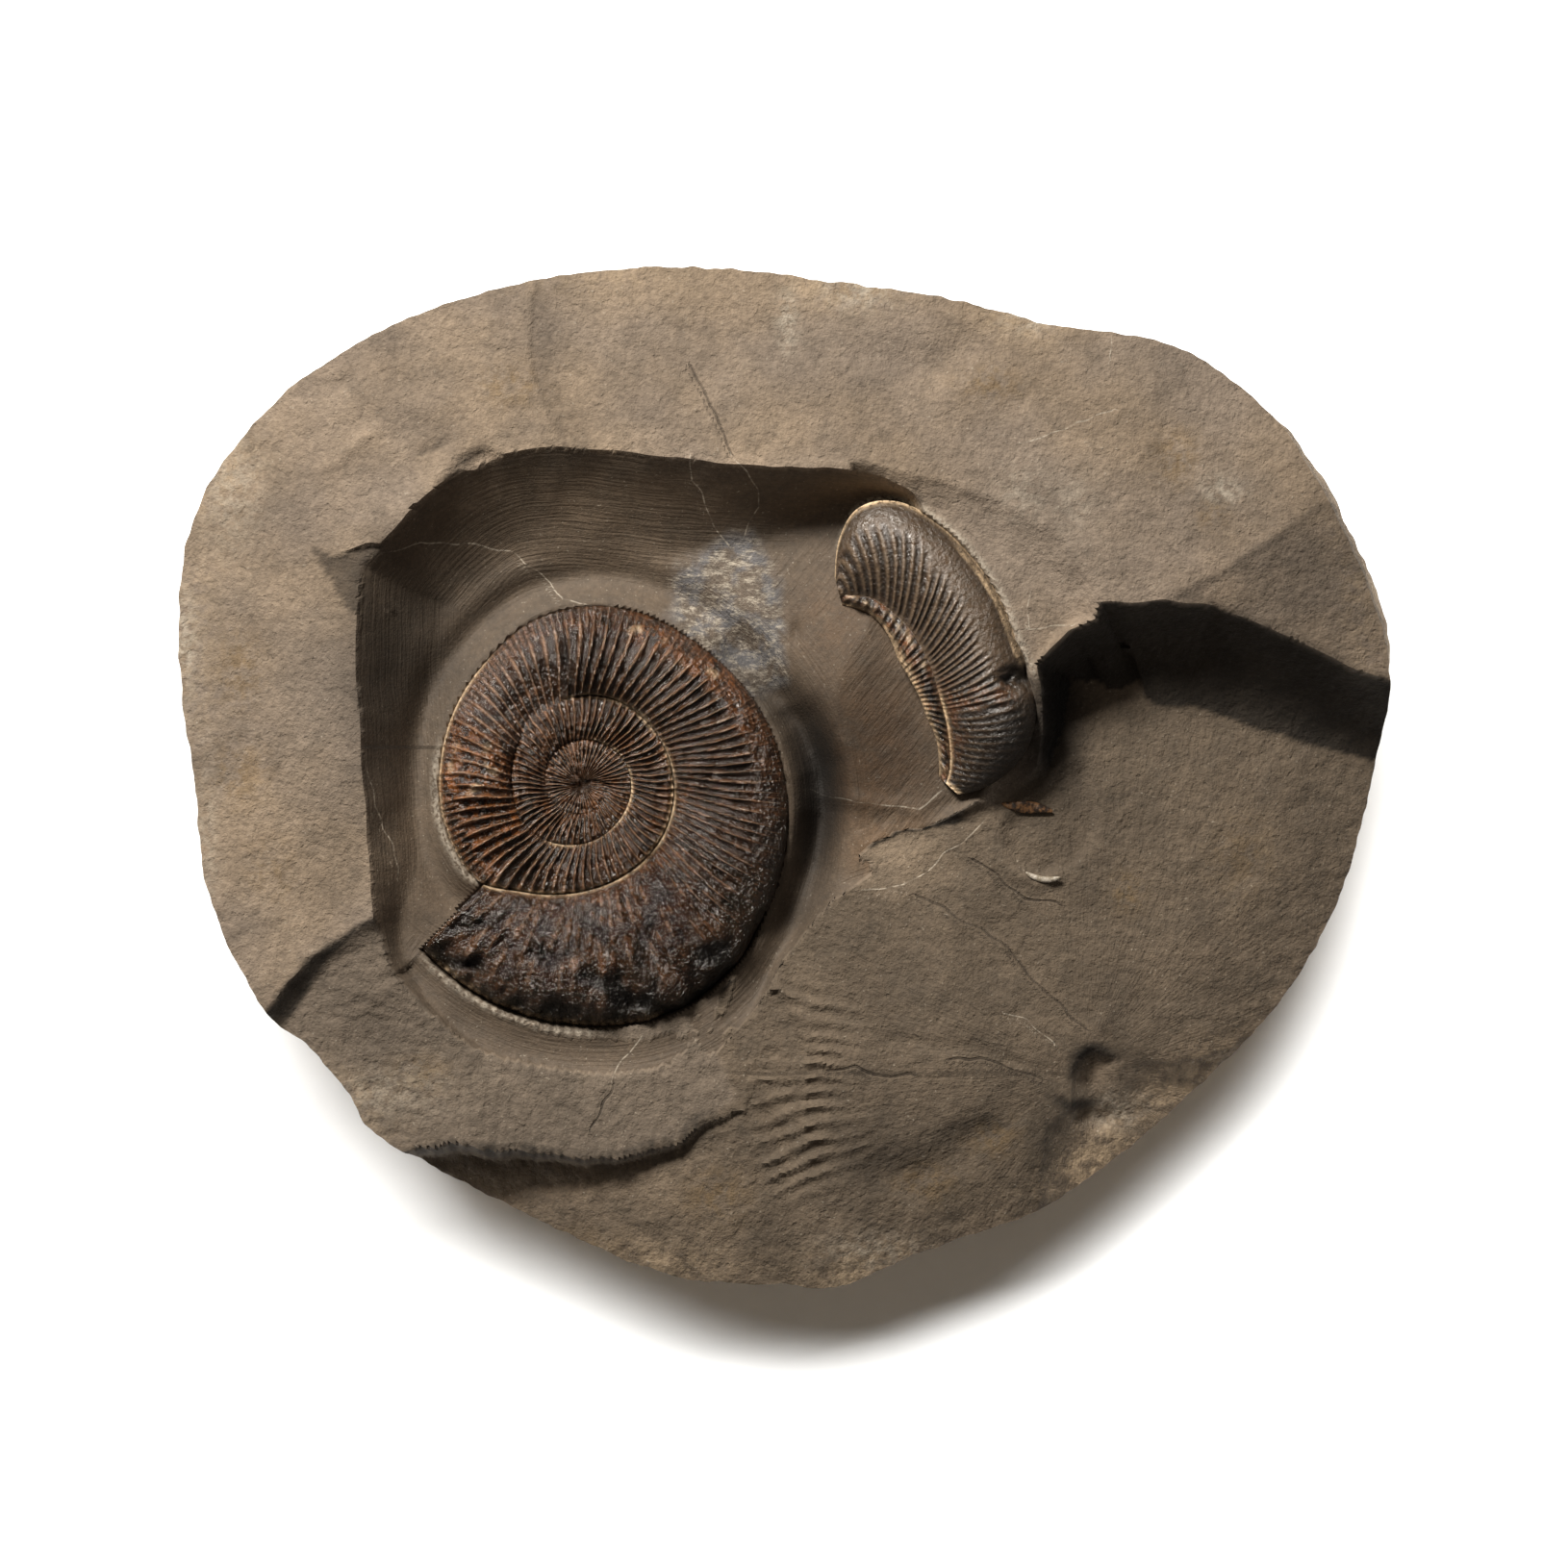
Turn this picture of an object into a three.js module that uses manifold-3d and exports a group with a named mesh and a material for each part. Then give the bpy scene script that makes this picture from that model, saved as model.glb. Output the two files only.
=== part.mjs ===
// A split mudstone nodule that holds two ribbed, evolute fossil shells, lying on its flattened base.
// Millimetres, +Z up. +X is along the stone's length and +Y across it. The origin is the middle of the base.
// The large shell lies flat in a worked basin. The small one is tilted and stands half out of the rock.
import * as THREE from "three";
import Module from "manifold-3d";

// Driving dimensions
const STONE_LENGTH = 189.5;
const STONE_WIDTH = 160.5;
const RIM_HEIGHT = 50.6; // split face near the basin
const RIM_FALL = 3.2; // how much lower the split face is at its outer edge
const LEFT_TILT = 0.09; // extra fall of the left rim, per mm
const LEFT_TILT_FROM = -62;
const BASIN_FLOOR = 36;
const SOUTH_RISE = 2.3; // how much higher the basin's floor is below the large shell
const MOAT = { depth: 2.2, beyond: 4.6, width: 2.6 }; // ring round the large shell, beyond its edge
const TERRACE_HEIGHT = 37; // below the basin, at X = 0
const TERRACE_SLOPE = 0.05;
const FRACTURE_HEIGHT = 37.3; // broken face at the lower right, at its highest
const FRACTURE_TOP = [20, -22];
const FRACTURE_SLOPE = 0.03; // fall per mm along X
const FRACTURE_BOW = [0.0009, 0.0007]; // fall per square mm along X and Y
const EDGE_ROLL = { depth: 3.5, power: 7 }; // how the broken face falls away at the stone's edge
const COLLAR_DEPTH = 2.2;
const NOTCH_DEPTH = 1.3;
const BEVEL_DEPTH = 2.2;
const IMPRINT_DEPTH = 0.9;
const BITE_DEPTH = 4;
const FACET_STEP = 0.15; // at the crease where the sloping facet starts
const FIT_GAP = 0.35; // between each shell and the rock round it
const SOCKET_SLACK = 0.15; // more room where a socket's coarser outline cuts the corners
const RIBS_PER_WHORL = 72;
const RIB_HEIGHT = 0.45;

// How finely curved stretches are divided
const OUTLINE_POINTS = 68;
const BASIN_POINTS = 60;
const SOCKET_STEPS = 40;
const SMALL_SOCKET_STEPS = 28;
const COARSE = 4; // edge points of the large shell for each point of its underside

const COIL_CENTRE = [-31.7, -0.8]; // large shell
const COIL_MIDPLANE = 36;
const APERTURE_ANGLE = 226; // degrees, counterclockwise from +X
const SMALL_CENTRE = [13.6, 10.2]; // small shell
const SMALL_SEAM_HEIGHT = 43.8;
const SMALL_ANGLES = [-43, 105];

const { clamp, degToRad, lerp, smoothstep } = THREE.MathUtils;

// The stone's outline seen from above, counterclockwise from the right end.
const STONE_OUTLINE = [
  [92.1, 0], [94.3, 20], [88.2, 39.3], [77, 56], [60.6, 67.3], [41, 70.9], [24.4, 75.2], [8.1, 77.5],
  [-8.4, 79.6], [-25.9, 79.6], [-44.3, 76.7], [-63, 70], [-80.3, 58.3], [-92.4, 41.2], [-94.9, 20.2],
  [-92.6, 0], [-90, -19.1], [-81.7, -36.4], [-74.1, -42.8], [-68.5, -49.8], [-63.2, -56.9],
  [-47.5, -65.4], [-32.4, -72.8], [-16.8, -78.8], [0, -80], [8.4, -80.2], [24, -73.8], [39.5, -68.4],
  [53.2, -59.1], [65.9, -47.8], [78.2, -34.8], [87.2, -18.5],
];

// The nodule's side, from the base up: share of the outline, height. Three gentle lumps run round it.
const SIDE_PROFILE = [[0.6, 0], [0.78, 2.6], [0.9, 8], [0.965, 15], [0.995, 23], [1, 32]];
const SIDE_LUMPS = { count: 3, share: 0.01, turned: 1.3, top: 46 };
const TOP_SHARES = [0.86, 0.64, 0.34];
// The weathered rind between the outline and the split face, as shares. It is wider at the upper right.
const RIND = { share: 0.007, extra: 0.019, at: 25, reach: 12 };

// Broad swells and sags of a face: middle, reach along X and Y, height.
const RIM_SAG = { at: [-66, -20], reach: [16, 20.5], height: -4 };
const SHOULDER_SAG = { at: [35, -2], reach: [12, 15], height: -9.5 }; // below the small shell
const FRACTURE_SWELL = { at: [38, -3], reach: [12.6, 12.6], height: 1.6 };
const TERRACE_SWELL = { at: [-62, -24], reach: [14, 14], height: 2.5 };
const BASIN_MOUND = { at: [24, 16], reach: [22.6, 22.6], height: 9 };
const BASIN_RISE = { at: [-62, -16], reach: [9.5, 12.2], height: 2.5 };

// The trough between the shells.
const TROUGH = {
  path: [[-8, 19], [-4.1, 13.8], [2.3, 8.3], [5.6, 1.8], [6.5, -4.8], [4.5, -13], [0, -21]],
  depth: 4.6,
  reach: 3.4,
};

// Faces that slope away from a line: a point on it, the direction and length of the fall, fall per mm.
const FACET_FALL = { from: [59.3, 27.9], towards: [0.509, -0.861], over: 38, slope: 0.2 };
const CHIP_FALL = { from: [-74.8, 37.5], towards: [0.848, 0.532], over: 16, slope: 0.28 };

// Worked basin: corner and width of the wall there.
const BASIN_EDGE = [
  [-65.9, 31.5, 14], [-66.4, 16.5, 11], [-65.5, 1.5, 9], [-64.4, -13.5, 7], [-63.8, -22.5, 4],
  [-62, -30, 3], [-57, -36, 2], [-48.7, -43.3, 2], [-40.5, -46, 2], [-31, -47.6, 2], [-20.2, -47.2, 2],
  [-10.5, -44.8, 2], [-3.7, -39.5, 3], [2.3, -30, 4], [9.8, -22.5, 5], [21.8, -17.3, 6], [27.8, -10.5, 6],
  [36.8, 1.5, 4], [37, 10, 3], [36, 18, 2.5], [33.5, 24, 2.5], [31, 30, 2.5], [26.5, 35.5, 2.5],
  [22.5, 40.5, 2.5], [19, 45.3, 2.5], [9.8, 48, 5], [-2.2, 48.5, 11], [-17.2, 49.8, 15],
  [-34.4, 51.5, 17], [-47.2, 49.5, 16], [-56.2, 43.5, 15], [-64.4, 34.5, 14],
];

// Broken faces, each with its corners seen from above, and the width of its wall there where it varies.
// Corners far out lie beyond the stone.
const FRACTURE_EDGE = [
  [105, 11, 12], [94.3, 15.3, 12.5], [87.4, 17.9, 13.5], [81.1, 20.7, 14.5], [74.9, 23.6, 15.3],
  [66.7, 26.9, 16], [59.3, 27.8, 17], [48.8, 27.3, 14], [44.2, 23.3, 10], [39.4, 17.9, 6],
  [40.3, 10, 4], [39.4, 2, 2], [34.5, -3.3, 2], [27, -4, 3], [17, -5, 3.5], [8, -10, 3.5],
  [0, -16, 3.5], [-3, -19, 3.5], [-8, -27, 3.5], [-14, -33, 3.5], [-12, -40, 3.5], [-10, -45, 3.5],
  [-8.5, -49.4, 3.5], [-9, -105, 3.5], [105, -105, 3.5],
];
const COLLAR_EDGE = [
  [10, 49.5, 2], [23.8, 46.5, 5], [34, 43, 6], [43, 37.5, 6], [48, 31, 5], [48.6, 24.9, 2],
  [44.2, 23.3, 1], [38, 16, 1], [30, 20, 1], [24, 36, 1], [10, 42, 1],
];
const LEDGE_EDGE = [
  [-8.5, -49.4], [-12.5, -52.2], [-17.8, -56], [-24.5, -57.6], [-30.5, -58.5], [-39.2, -57.6],
  [-52, -56.9], [-61.4, -57.9], [-80, -62], [-80, -105], [30, -105], [30, -60],
];
const TERRACE_EDGE = [
  [-57, -17], [-64.4, -21.8], [-71.2, -26.3], [-77.2, -31.5], [-80.9, -36.8], [-100, -45],
  [-100, -100], [6, -100], [6, -40], [0, -30], [-14, -33], [-32, -34], [-45, -29], [-49, -20],
];
const FACET_EDGE = [
  [59.3, 27.9], [66.7, 26.5], [74.9, 23], [81.1, 20], [87.4, 17], [94.3, 14.5], [105, 11], [105, 46],
  [82.6, 42.8], [77, 38.4], [68.3, 33],
];
const CHIP_EDGE = [[-74.8, 37.5], [-67.2, 25.2], [-60, 26], [-58, 33], [-64.9, 34.9], [-70, 34.6]];
const NOTCH_EDGE = [[-51, 46], [-49, 49.3], [-46.8, 51], [-44, 50.6], [-42.5, 48], [-46, 44]];
const BEVEL_EDGE = [
  [44.5, -52], [40.6, -54.5], [39.8, -66], [38, -78], [60, -78], [82, -56], [98, -32], [84, -33],
  [74.3, -39.8], [66.8, -43.5], [51.8, -45],
];
const BITE_EDGE = [[44.3, -46], [46, -54], [50, -56], [53, -51], [52, -44], [48, -41.5]];
const IMPRINT_EDGE = [
  [33.5, -7], [36.5, -4.2], [41, -0.5], [43.5, 2.2], [47, 2], [49.3, -4], [49, -10], [45, -14.5],
  [39, -16], [34, -11],
];

// Radius of the large shell's outer edge, by degrees unwound from the mouth. Past 356 it is the seam.
const COIL_RADII = [
  [0, 36.2], [45, 38.3], [68, 38.8], [86, 37.3], [104, 34.8], [144, 31.5], [179, 28.8], [213, 28.3],
  [238, 27], [264, 24.3], [300, 22.5], [340, 22.4], [356, 22.2], [376, 19], [413, 16.3], [464, 15],
  [516, 14.2], [574, 14.1], [620, 12.4], [669, 11], [716, 10.7], [755, 9.6], [807, 8.2], [879, 7.6],
  [961, 6.8], [1073, 5.1], [1170, 4.3], [1260, 3.6],
];
const COIL_SEAM_FROM = 356;
const COIL_TURNS = 3.5;
const HALF_THICKNESS_SHARE = 0.215; // half the whorl's thickness, by its radius
const SEAM_SHARE = 0.6; // height of the seam within that half thickness
const EDGE_DROP = 0.4; // the free outer edge below the midplane, and the coil's very middle above it
const MOUTH_FOOT_DROP = 0.6;
const UNDERSIDE = [[0.97, 2.5], [0.8, 5.6], [0.45, 7.6]]; // share of the edge, depth below the midplane
const UNDERSIDE_DEPTH = 8;

// Radii of the small shell's outer edge, of its seam and of the inner whorl's border, by degrees.
const SMALL_OUTER = [
  [-43, 18.4], [-34, 20.9], [-17, 24.3], [-3, 25.5], [14, 25.5], [27, 25.3], [41, 26.8], [57, 29],
  [70, 31.3], [83.5, 33.2], [94, 31.9], [100.6, 27.5], [105, 22],
];
const SMALL_SEAM = [[-43, 16], [-13, 12.3], [17.5, 11], [48, 12.5], [76, 15.8], [90, 18], [105, 19]];
const SMALL_BORDER = [[-43, 14.4], [-28, 11.8], [2, 8.3], [60, 9], [90, 15.3], [105, 17.6]];
const SMALL_PROFILE = [[0.2, 0.57], [0.45, 0.95], [0.7, 0.98], [0.88, 0.73], [1, 0.35]];
const SMALL_CREST_SHARE = 0.36; // rise of the whorl above its seam, by its width
const SMALL_TILT = 5.5;
const SMALL_TILT_TOWARDS = 45;
const SMALL_RIB_SHARE = 0.7; // of the large shell's rib height
const INNER_WHORL = { border: -1.4, middle: 0.8 }; // heights above the seam

const SPLINTER_LENGTH = 7.5;
const SPLINTER_WIDTH = 1.7;
const SPLINTER_AT = [38.2, -4.4];
const SPLINTER_TURN = -9;
const CRESCENT_RADIUS = 5.5;
const CRESCENT_WIDTH = 1;
const CRESCENT_AT = [41.2, -10.2];
const CRESCENT_ANGLES = [232, 292];
const CRESCENT_RAISE = 0.9;
const FLAKE_THICKNESS = 0.8;
const FLAKE_CLEARANCE = 4; // room above a flake

const wasm = await Module();
wasm.setup();

// A smooth curve through hand-set points, as a function of their first value.
function through(points) {
  const slope = (i) => {
    const [a, b] = [points[Math.max(i - 1, 0)], points[Math.min(i + 1, points.length - 1)]];
    return (b[1] - a[1]) / (b[0] - a[0]);
  };
  return (x) => {
    let i = points.findIndex((point) => point[0] > x) - 1;
    if (i < 0) i = x < points[0][0] ? 0 : points.length - 2;
    const [[x0, y0], [x1, y1]] = [points[i], points[i + 1]];
    const span = x1 - x0;
    const t = (x - x0) / span;
    const start = y0 * (1 + 2 * t) * (1 - t) ** 2 + slope(i) * span * t * (1 - t) ** 2;
    const end = y1 * t * t * (3 - 2 * t) + slope(i + 1) * span * t * t * (t - 1);
    return start + end;
  };
}

// Points along a closed smooth outline.
function smoothOutline(corners, count) {
  const curve = new THREE.CatmullRomCurve3(corners.map((c) => new THREE.Vector3(...c)), true);
  return curve.getSpacedPoints(count).slice(0, count).map((p) => [p.x, p.y, p.z]);
}

// Points along a closed outline with straight sides, about a step apart.
function straightOutline(corners, step) {
  return corners.flatMap((from, i) => {
    const to = corners[(i + 1) % corners.length];
    const pieces = Math.max(1, Math.round(Math.hypot(to[0] - from[0], to[1] - from[1]) / step));
    const at = (share) => from.map((value, axis) => lerp(value, to[axis], share));
    return Array.from({ length: pieces }, (_, k) => at(k / pieces));
  });
}

// The outline moved outwards by its own normals. It runs counterclockwise.
function offsetOutline(points, distance) {
  const count = points.length;
  return points.map((point, i) => {
    const before = points[(i + count - 1) % count];
    const after = points[(i + 1) % count];
    const run = new THREE.Vector2(after[0] - before[0], after[1] - before[1]).normalize();
    const away = Array.isArray(distance) ? distance[i] : distance;
    return [point[0] + run.y * away, point[1] - run.x * away];
  });
}

function counterclockwise(points) {
  const area = THREE.ShapeUtils.area(points.map((p) => new THREE.Vector2(p[0], p[1])));
  return area < 0 ? [...points].reverse() : points;
}

// Distance from a point to a bent line, and the share of the line's length gone there.
function besidePath(x, y, path) {
  const lengths = path.slice(1).map((to, i) => Math.hypot(to[0] - path[i][0], to[1] - path[i][1]));
  const total = lengths.reduce((sum, length) => sum + length, 0);
  let nearest = { distance: Infinity, along: 0 };
  let done = 0;
  lengths.forEach((length, i) => {
    const [from, to] = [path[i], path[i + 1]];
    const run = [(to[0] - from[0]) / length, (to[1] - from[1]) / length];
    const gone = clamp((x - from[0]) * run[0] + (y - from[1]) * run[1], 0, length);
    const distance = Math.hypot(x - from[0] - run[0] * gone, y - from[1] - run[1] * gone);
    if (distance < nearest.distance) nearest = { distance, along: (done + gone) / total };
    done += length;
  });
  return nearest;
}

// Radius of a closed outline seen from a centre, by angle.
function radiusTable(points, centre) {
  const table = points.map((p) => {
    const [dx, dy] = [p[0] - centre[0], p[1] - centre[1]];
    return [Math.atan2(dy, dx), Math.hypot(dx, dy)];
  });
  table.sort((a, b) => a[0] - b[0]);
  const turn = 2 * Math.PI;
  const wrapped = [
    [table.at(-1)[0] - turn, table.at(-1)[1]],
    ...table,
    [table[0][0] + turn, table[0][1]],
  ];
  return (angle) => {
    const i = Math.max(1, wrapped.findIndex((entry) => entry[0] >= angle));
    const [low, high] = [wrapped[i - 1], wrapped[i]];
    return lerp(low[1], high[1], (angle - low[0]) / (high[0] - low[0]));
  };
}

function meshGeometry(vertices, triangles) {
  const geometry = new THREE.BufferGeometry();
  geometry.setAttribute("position", new THREE.Float32BufferAttribute(vertices.flat(), 3));
  geometry.setIndex(triangles.flat());
  return geometry;
}

// A closed skin over rings of equal count, from the lowest to the highest, with a point at each end.
function skinOverRings(rings, lowPoint, highPoint) {
  const count = rings[0].length;
  const vertices = [...rings.flat(), lowPoint, highPoint];
  const low = vertices.length - 2;
  const high = vertices.length - 1;
  const triangles = [];
  for (let i = 0; i < count; i++) {
    const next = (i + 1) % count;
    const last = (rings.length - 1) * count;
    triangles.push([low, next, i], [high, last + i, last + next]);
    for (let k = 0; k + 1 < rings.length; k++) {
      const [a, b] = [k * count, (k + 1) * count];
      triangles.push([a + i, a + next, b + next], [a + i, b + next, b + i]);
    }
  }
  return meshGeometry(vertices, triangles);
}

const middleOf = (ring) => [0, 1, 2].map((axis) => ring.reduce((sum, p) => sum + p[axis], 0) / ring.length);

function solidOf(geometry) {
  const triVerts = new Uint32Array(geometry.index.array);
  const vertProperties = new Float32Array(geometry.attributes.position.array);
  return new wasm.Manifold(new wasm.Mesh({ numProp: 3, vertProperties, triVerts }));
}

function geometryOf(solid) {
  const mesh = solid.getMesh();
  const geometry = new THREE.BufferGeometry();
  geometry.setAttribute("position", new THREE.Float32BufferAttribute(mesh.vertProperties, 3));
  geometry.setIndex(new THREE.Uint32BufferAttribute(mesh.triVerts, 1));
  geometry.computeVertexNormals();
  return geometry;
}

// The stone's sampled outline, fitted to its length and width about the origin.
function stoneOutline() {
  const raw = smoothOutline(STONE_OUTLINE.map(([x, y]) => [x, y, 0]), OUTLINE_POINTS);
  const box = new THREE.Box2().setFromPoints(raw.map((p) => new THREE.Vector2(p[0], p[1])));
  const middle = box.getCenter(new THREE.Vector2());
  const size = box.getSize(new THREE.Vector2());
  return raw.map(([x, y]) => [
    ((x - middle.x) * STONE_LENGTH) / size.x,
    ((y - middle.y) * STONE_WIDTH) / size.y,
  ]);
}

const OUTLINE = stoneOutline();
const outlineRadius = radiusTable(OUTLINE, [0, 0]);
const shareAt = (x, y) => Math.hypot(x, y) / outlineRadius(Math.atan2(y, x));
const coilRadius = through(COIL_RADII);

const bell = (x, middle, reach) => Math.exp(-(((x - middle) / reach) ** 2));

function swell(x, y, { at, reach, height }) {
  return height * bell(x, at[0], reach[0]) * bell(y, at[1], reach[1]);
}

// Height of the untouched split face.
function rimHeight(x, y) {
  const tilt = LEFT_TILT * Math.max(0, LEFT_TILT_FROM - x);
  const sag = swell(x, y, RIM_SAG) + swell(x, y, SHOULDER_SAG);
  return RIM_HEIGHT - RIM_FALL * Math.min(1, shareAt(x, y)) ** 2 - tilt + sag;
}

// Height of the broken face at the lower right and below the ledge, which rolls off to the outer edge.
function fractureHeight(x, y) {
  const [dx, dy] = [x - FRACTURE_TOP[0], y - FRACTURE_TOP[1]];
  const roll = EDGE_ROLL.depth * Math.min(1.1, shareAt(x, y)) ** EDGE_ROLL.power;
  const bow = FRACTURE_BOW[0] * dx * dx + FRACTURE_BOW[1] * dy * dy;
  return FRACTURE_HEIGHT - FRACTURE_SLOPE * dx - bow - roll + swell(x, y, FRACTURE_SWELL);
}

const terraceHeight = (x, y) => TERRACE_HEIGHT - TERRACE_SLOPE * x + swell(x, y, TERRACE_SWELL);
const imprintHeight = (x, y) => fractureHeight(x, y) - IMPRINT_DEPTH;

// Height of a face that leaves the rim at a line and falls away from it.
function slopingHeight(x, y, { from, towards, over, slope }) {
  const gone = (x - from[0]) * towards[0] + (y - from[1]) * towards[1];
  return rimHeight(x, y) - FACET_STEP - slope * clamp(gone, 0, over);
}

// Degrees unwound from the large shell's mouth, for a direction from its centre.
function unwound(x, y) {
  const angle = (Math.atan2(y - COIL_CENTRE[1], x - COIL_CENTRE[0]) * 180) / Math.PI;
  return (angle - APERTURE_ANGLE + 720) % 360;
}

function troughDepth(x, y) {
  const { distance, along } = besidePath(x, y, TROUGH.path);
  const ends = Math.sin(Math.PI * clamp(along, 0.08, 0.92)) ** 0.5;
  return TROUGH.depth * bell(distance, 0, TROUGH.reach) * ends;
}

function basinHeight(x, y) {
  const beyond = Math.hypot(x - COIL_CENTRE[0], y - COIL_CENTRE[1]) - coilRadius(unwound(x, y));
  const south = (1 - smoothstep(y, -36, -22)) * (1 - smoothstep(x, -14, 6));
  const moat = MOAT.depth * bell(beyond, MOAT.beyond, MOAT.width) * (1 - 0.75 * south);
  const raised = swell(x, y, BASIN_MOUND) + swell(x, y, BASIN_RISE) + SOUTH_RISE * south;
  return BASIN_FLOOR + raised - moat - troughDepth(x, y);
}

// Share of a wall's rise that is left at a share of its width, from its top to its foot.
const wallFall = (t, bend) => 0.8 * (1 - t) ** bend + 0.2 * (1 - t);

// A solid to cut away: its wall runs from the face above down to the floor, and on up above the stone.
function cutAbove(outline, widths, centre, floor, options) {
  const { inner = [0.66, 0.33], steps = [0.5], bend = 1.6, above = rimHeight } = options;
  const wallRing = (t, extra = 0) => {
    const inset = offsetOutline(outline, widths.map((width) => -width * t));
    return inset.map(([x, y], i) => {
      const low = floor(x, y);
      return [x, y, low + (above(outline[i][0], outline[i][1]) - low) * wallFall(t, bend) + extra];
    });
  };
  const foot = wallRing(1);
  const floorRing = (share) => foot.map(([x, y], i) => {
    const near = typeof share === "function" ? share(i, foot) : share;
    const at = [lerp(centre[0], x, near), lerp(centre[1], y, near)];
    return [...at, floor(...at)];
  });
  const wall = [foot, ...steps.map((t) => wallRing(t)), wallRing(0, 0.3), wallRing(-0.02, 6)];
  const rings = [...inner.map(floorRing).reverse(), ...wall];
  const low = [...centre, floor(...centre)];
  return solidOf(skinOverRings(rings, low, [...centre, RIM_HEIGHT + 8]));
}

function brokenFace(corners, step, width, centre, floor, options = {}) {
  const outline = straightOutline(counterclockwise(corners), step);
  return cutAbove(outline, outline.map((point) => point[2] ?? width), centre, floor, options);
}

function basinCut() {
  const sampled = counterclockwise(smoothOutline(BASIN_EDGE, BASIN_POINTS));
  const widths = sampled.map((point) => Math.max(2, point[2]));
  // Floor rings that follow the shell: inside its edge, in the moat, on its bank, and halfway out.
  const follow = (beyond, out) => (i, foot) => {
    const [dx, dy] = [foot[i][0] - COIL_CENTRE[0], foot[i][1] - COIL_CENTRE[1]];
    const reach = Math.hypot(dx, dy);
    const edge = coilRadius(unwound(foot[i][0], foot[i][1])) + beyond;
    return Math.min(0.98, lerp(edge, reach, out) / reach);
  };
  const bank = MOAT.beyond + MOAT.width;
  const inner = [follow(bank, 0.5), follow(bank, 0), follow(MOAT.beyond, 0), follow(1, 0), follow(-2, 0)];
  return cutAbove(sampled, widths, COIL_CENTRE, basinHeight, { inner, steps: [0.6, 0.25] });
}

// The whole nodule before anything broke off, with a gently lumpy side and a flat base.
function noduleSolid() {
  const lump = (angle, height) => {
    const wave = Math.sin(SIDE_LUMPS.count * angle + SIDE_LUMPS.turned) - 1;
    return SIDE_LUMPS.share * wave * Math.sin((height / SIDE_LUMPS.top) * Math.PI);
  };
  const rind = (angle) => RIND.share + RIND.extra * bell(angle, degToRad(RIND.at), degToRad(RIND.reach));
  const ring = (share, height) => OUTLINE.map(([x, y]) => {
    const wide = share === 1 ? share : share + lump(Math.atan2(y, x), height);
    return [x * wide, y * wide, height];
  });
  const split = (share) => OUTLINE.map(([x, y]) => {
    const kept = share * (1 - rind(Math.atan2(y, x)));
    return [x * kept, y * kept, rimHeight(x * kept, y * kept)];
  });
  const sides = SIDE_PROFILE.map(([share, height]) => ring(share, height));
  const top = [1, ...TOP_SHARES].map(split);
  return solidOf(skinOverRings([...sides, ...top], [0, 0, 0], [0, 0, rimHeight(0, 0)]));
}

// Joins two rows of vertices, each a list of [index, share across], with triangles.
function joinRows(first, second) {
  const triangles = [];
  let [i, j] = [0, 0];
  while (i + 1 < first.length || j + 1 < second.length) {
    const nextFirst = i + 1 < first.length ? first[i + 1][1] : Infinity;
    const nextSecond = j + 1 < second.length ? second[j + 1][1] : Infinity;
    if (nextFirst <= nextSecond) {
      triangles.push([first[i][0], first[i + 1][0], second[j][0]]);
      i++;
    } else {
      triangles.push([first[i][0], second[j + 1][0], second[j][0]]);
      j++;
    }
  }
  return triangles.filter(([a, b, c]) => a !== b && b !== c && a !== c);
}

// A point on the large shell's upper side: degrees unwound, and share from the inner to the outer seam.
function coilPoint(turned, across, inner) {
  const outer = coilRadius(turned);
  const radius = lerp(inner.radius, outer, across);
  const free = turned < COIL_SEAM_FROM;
  const half = HALF_THICKNESS_SHARE * outer;
  const outerHeight = free ? -EDGE_DROP : SEAM_SHARE * half;
  const base = lerp(inner.height, outerHeight, across);
  const crest = half - lerp(inner.height, outerHeight, 0.5);
  const round = Math.sqrt(Math.max(0, 1 - (2 * across - 1) ** 2));
  const rib = Math.round((turned / 360) * RIBS_PER_WHORL * 2) % 2 === 0 ? RIB_HEIGHT : -RIB_HEIGHT;
  const ribbed = across > 0 && across < 1 ? rib * Math.min(1, outer / 25) * round : 0;
  const angle = degToRad(APERTURE_ANGLE + turned);
  return [
    COIL_CENTRE[0] + radius * Math.cos(angle),
    COIL_CENTRE[1] + radius * Math.sin(angle),
    COIL_MIDPLANE + base + crest * round + ribbed,
  ];
}

function seamOf(turned) {
  const radius = coilRadius(turned);
  return { radius, height: SEAM_SHARE * HALF_THICKNESS_SHARE * radius };
}

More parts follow.
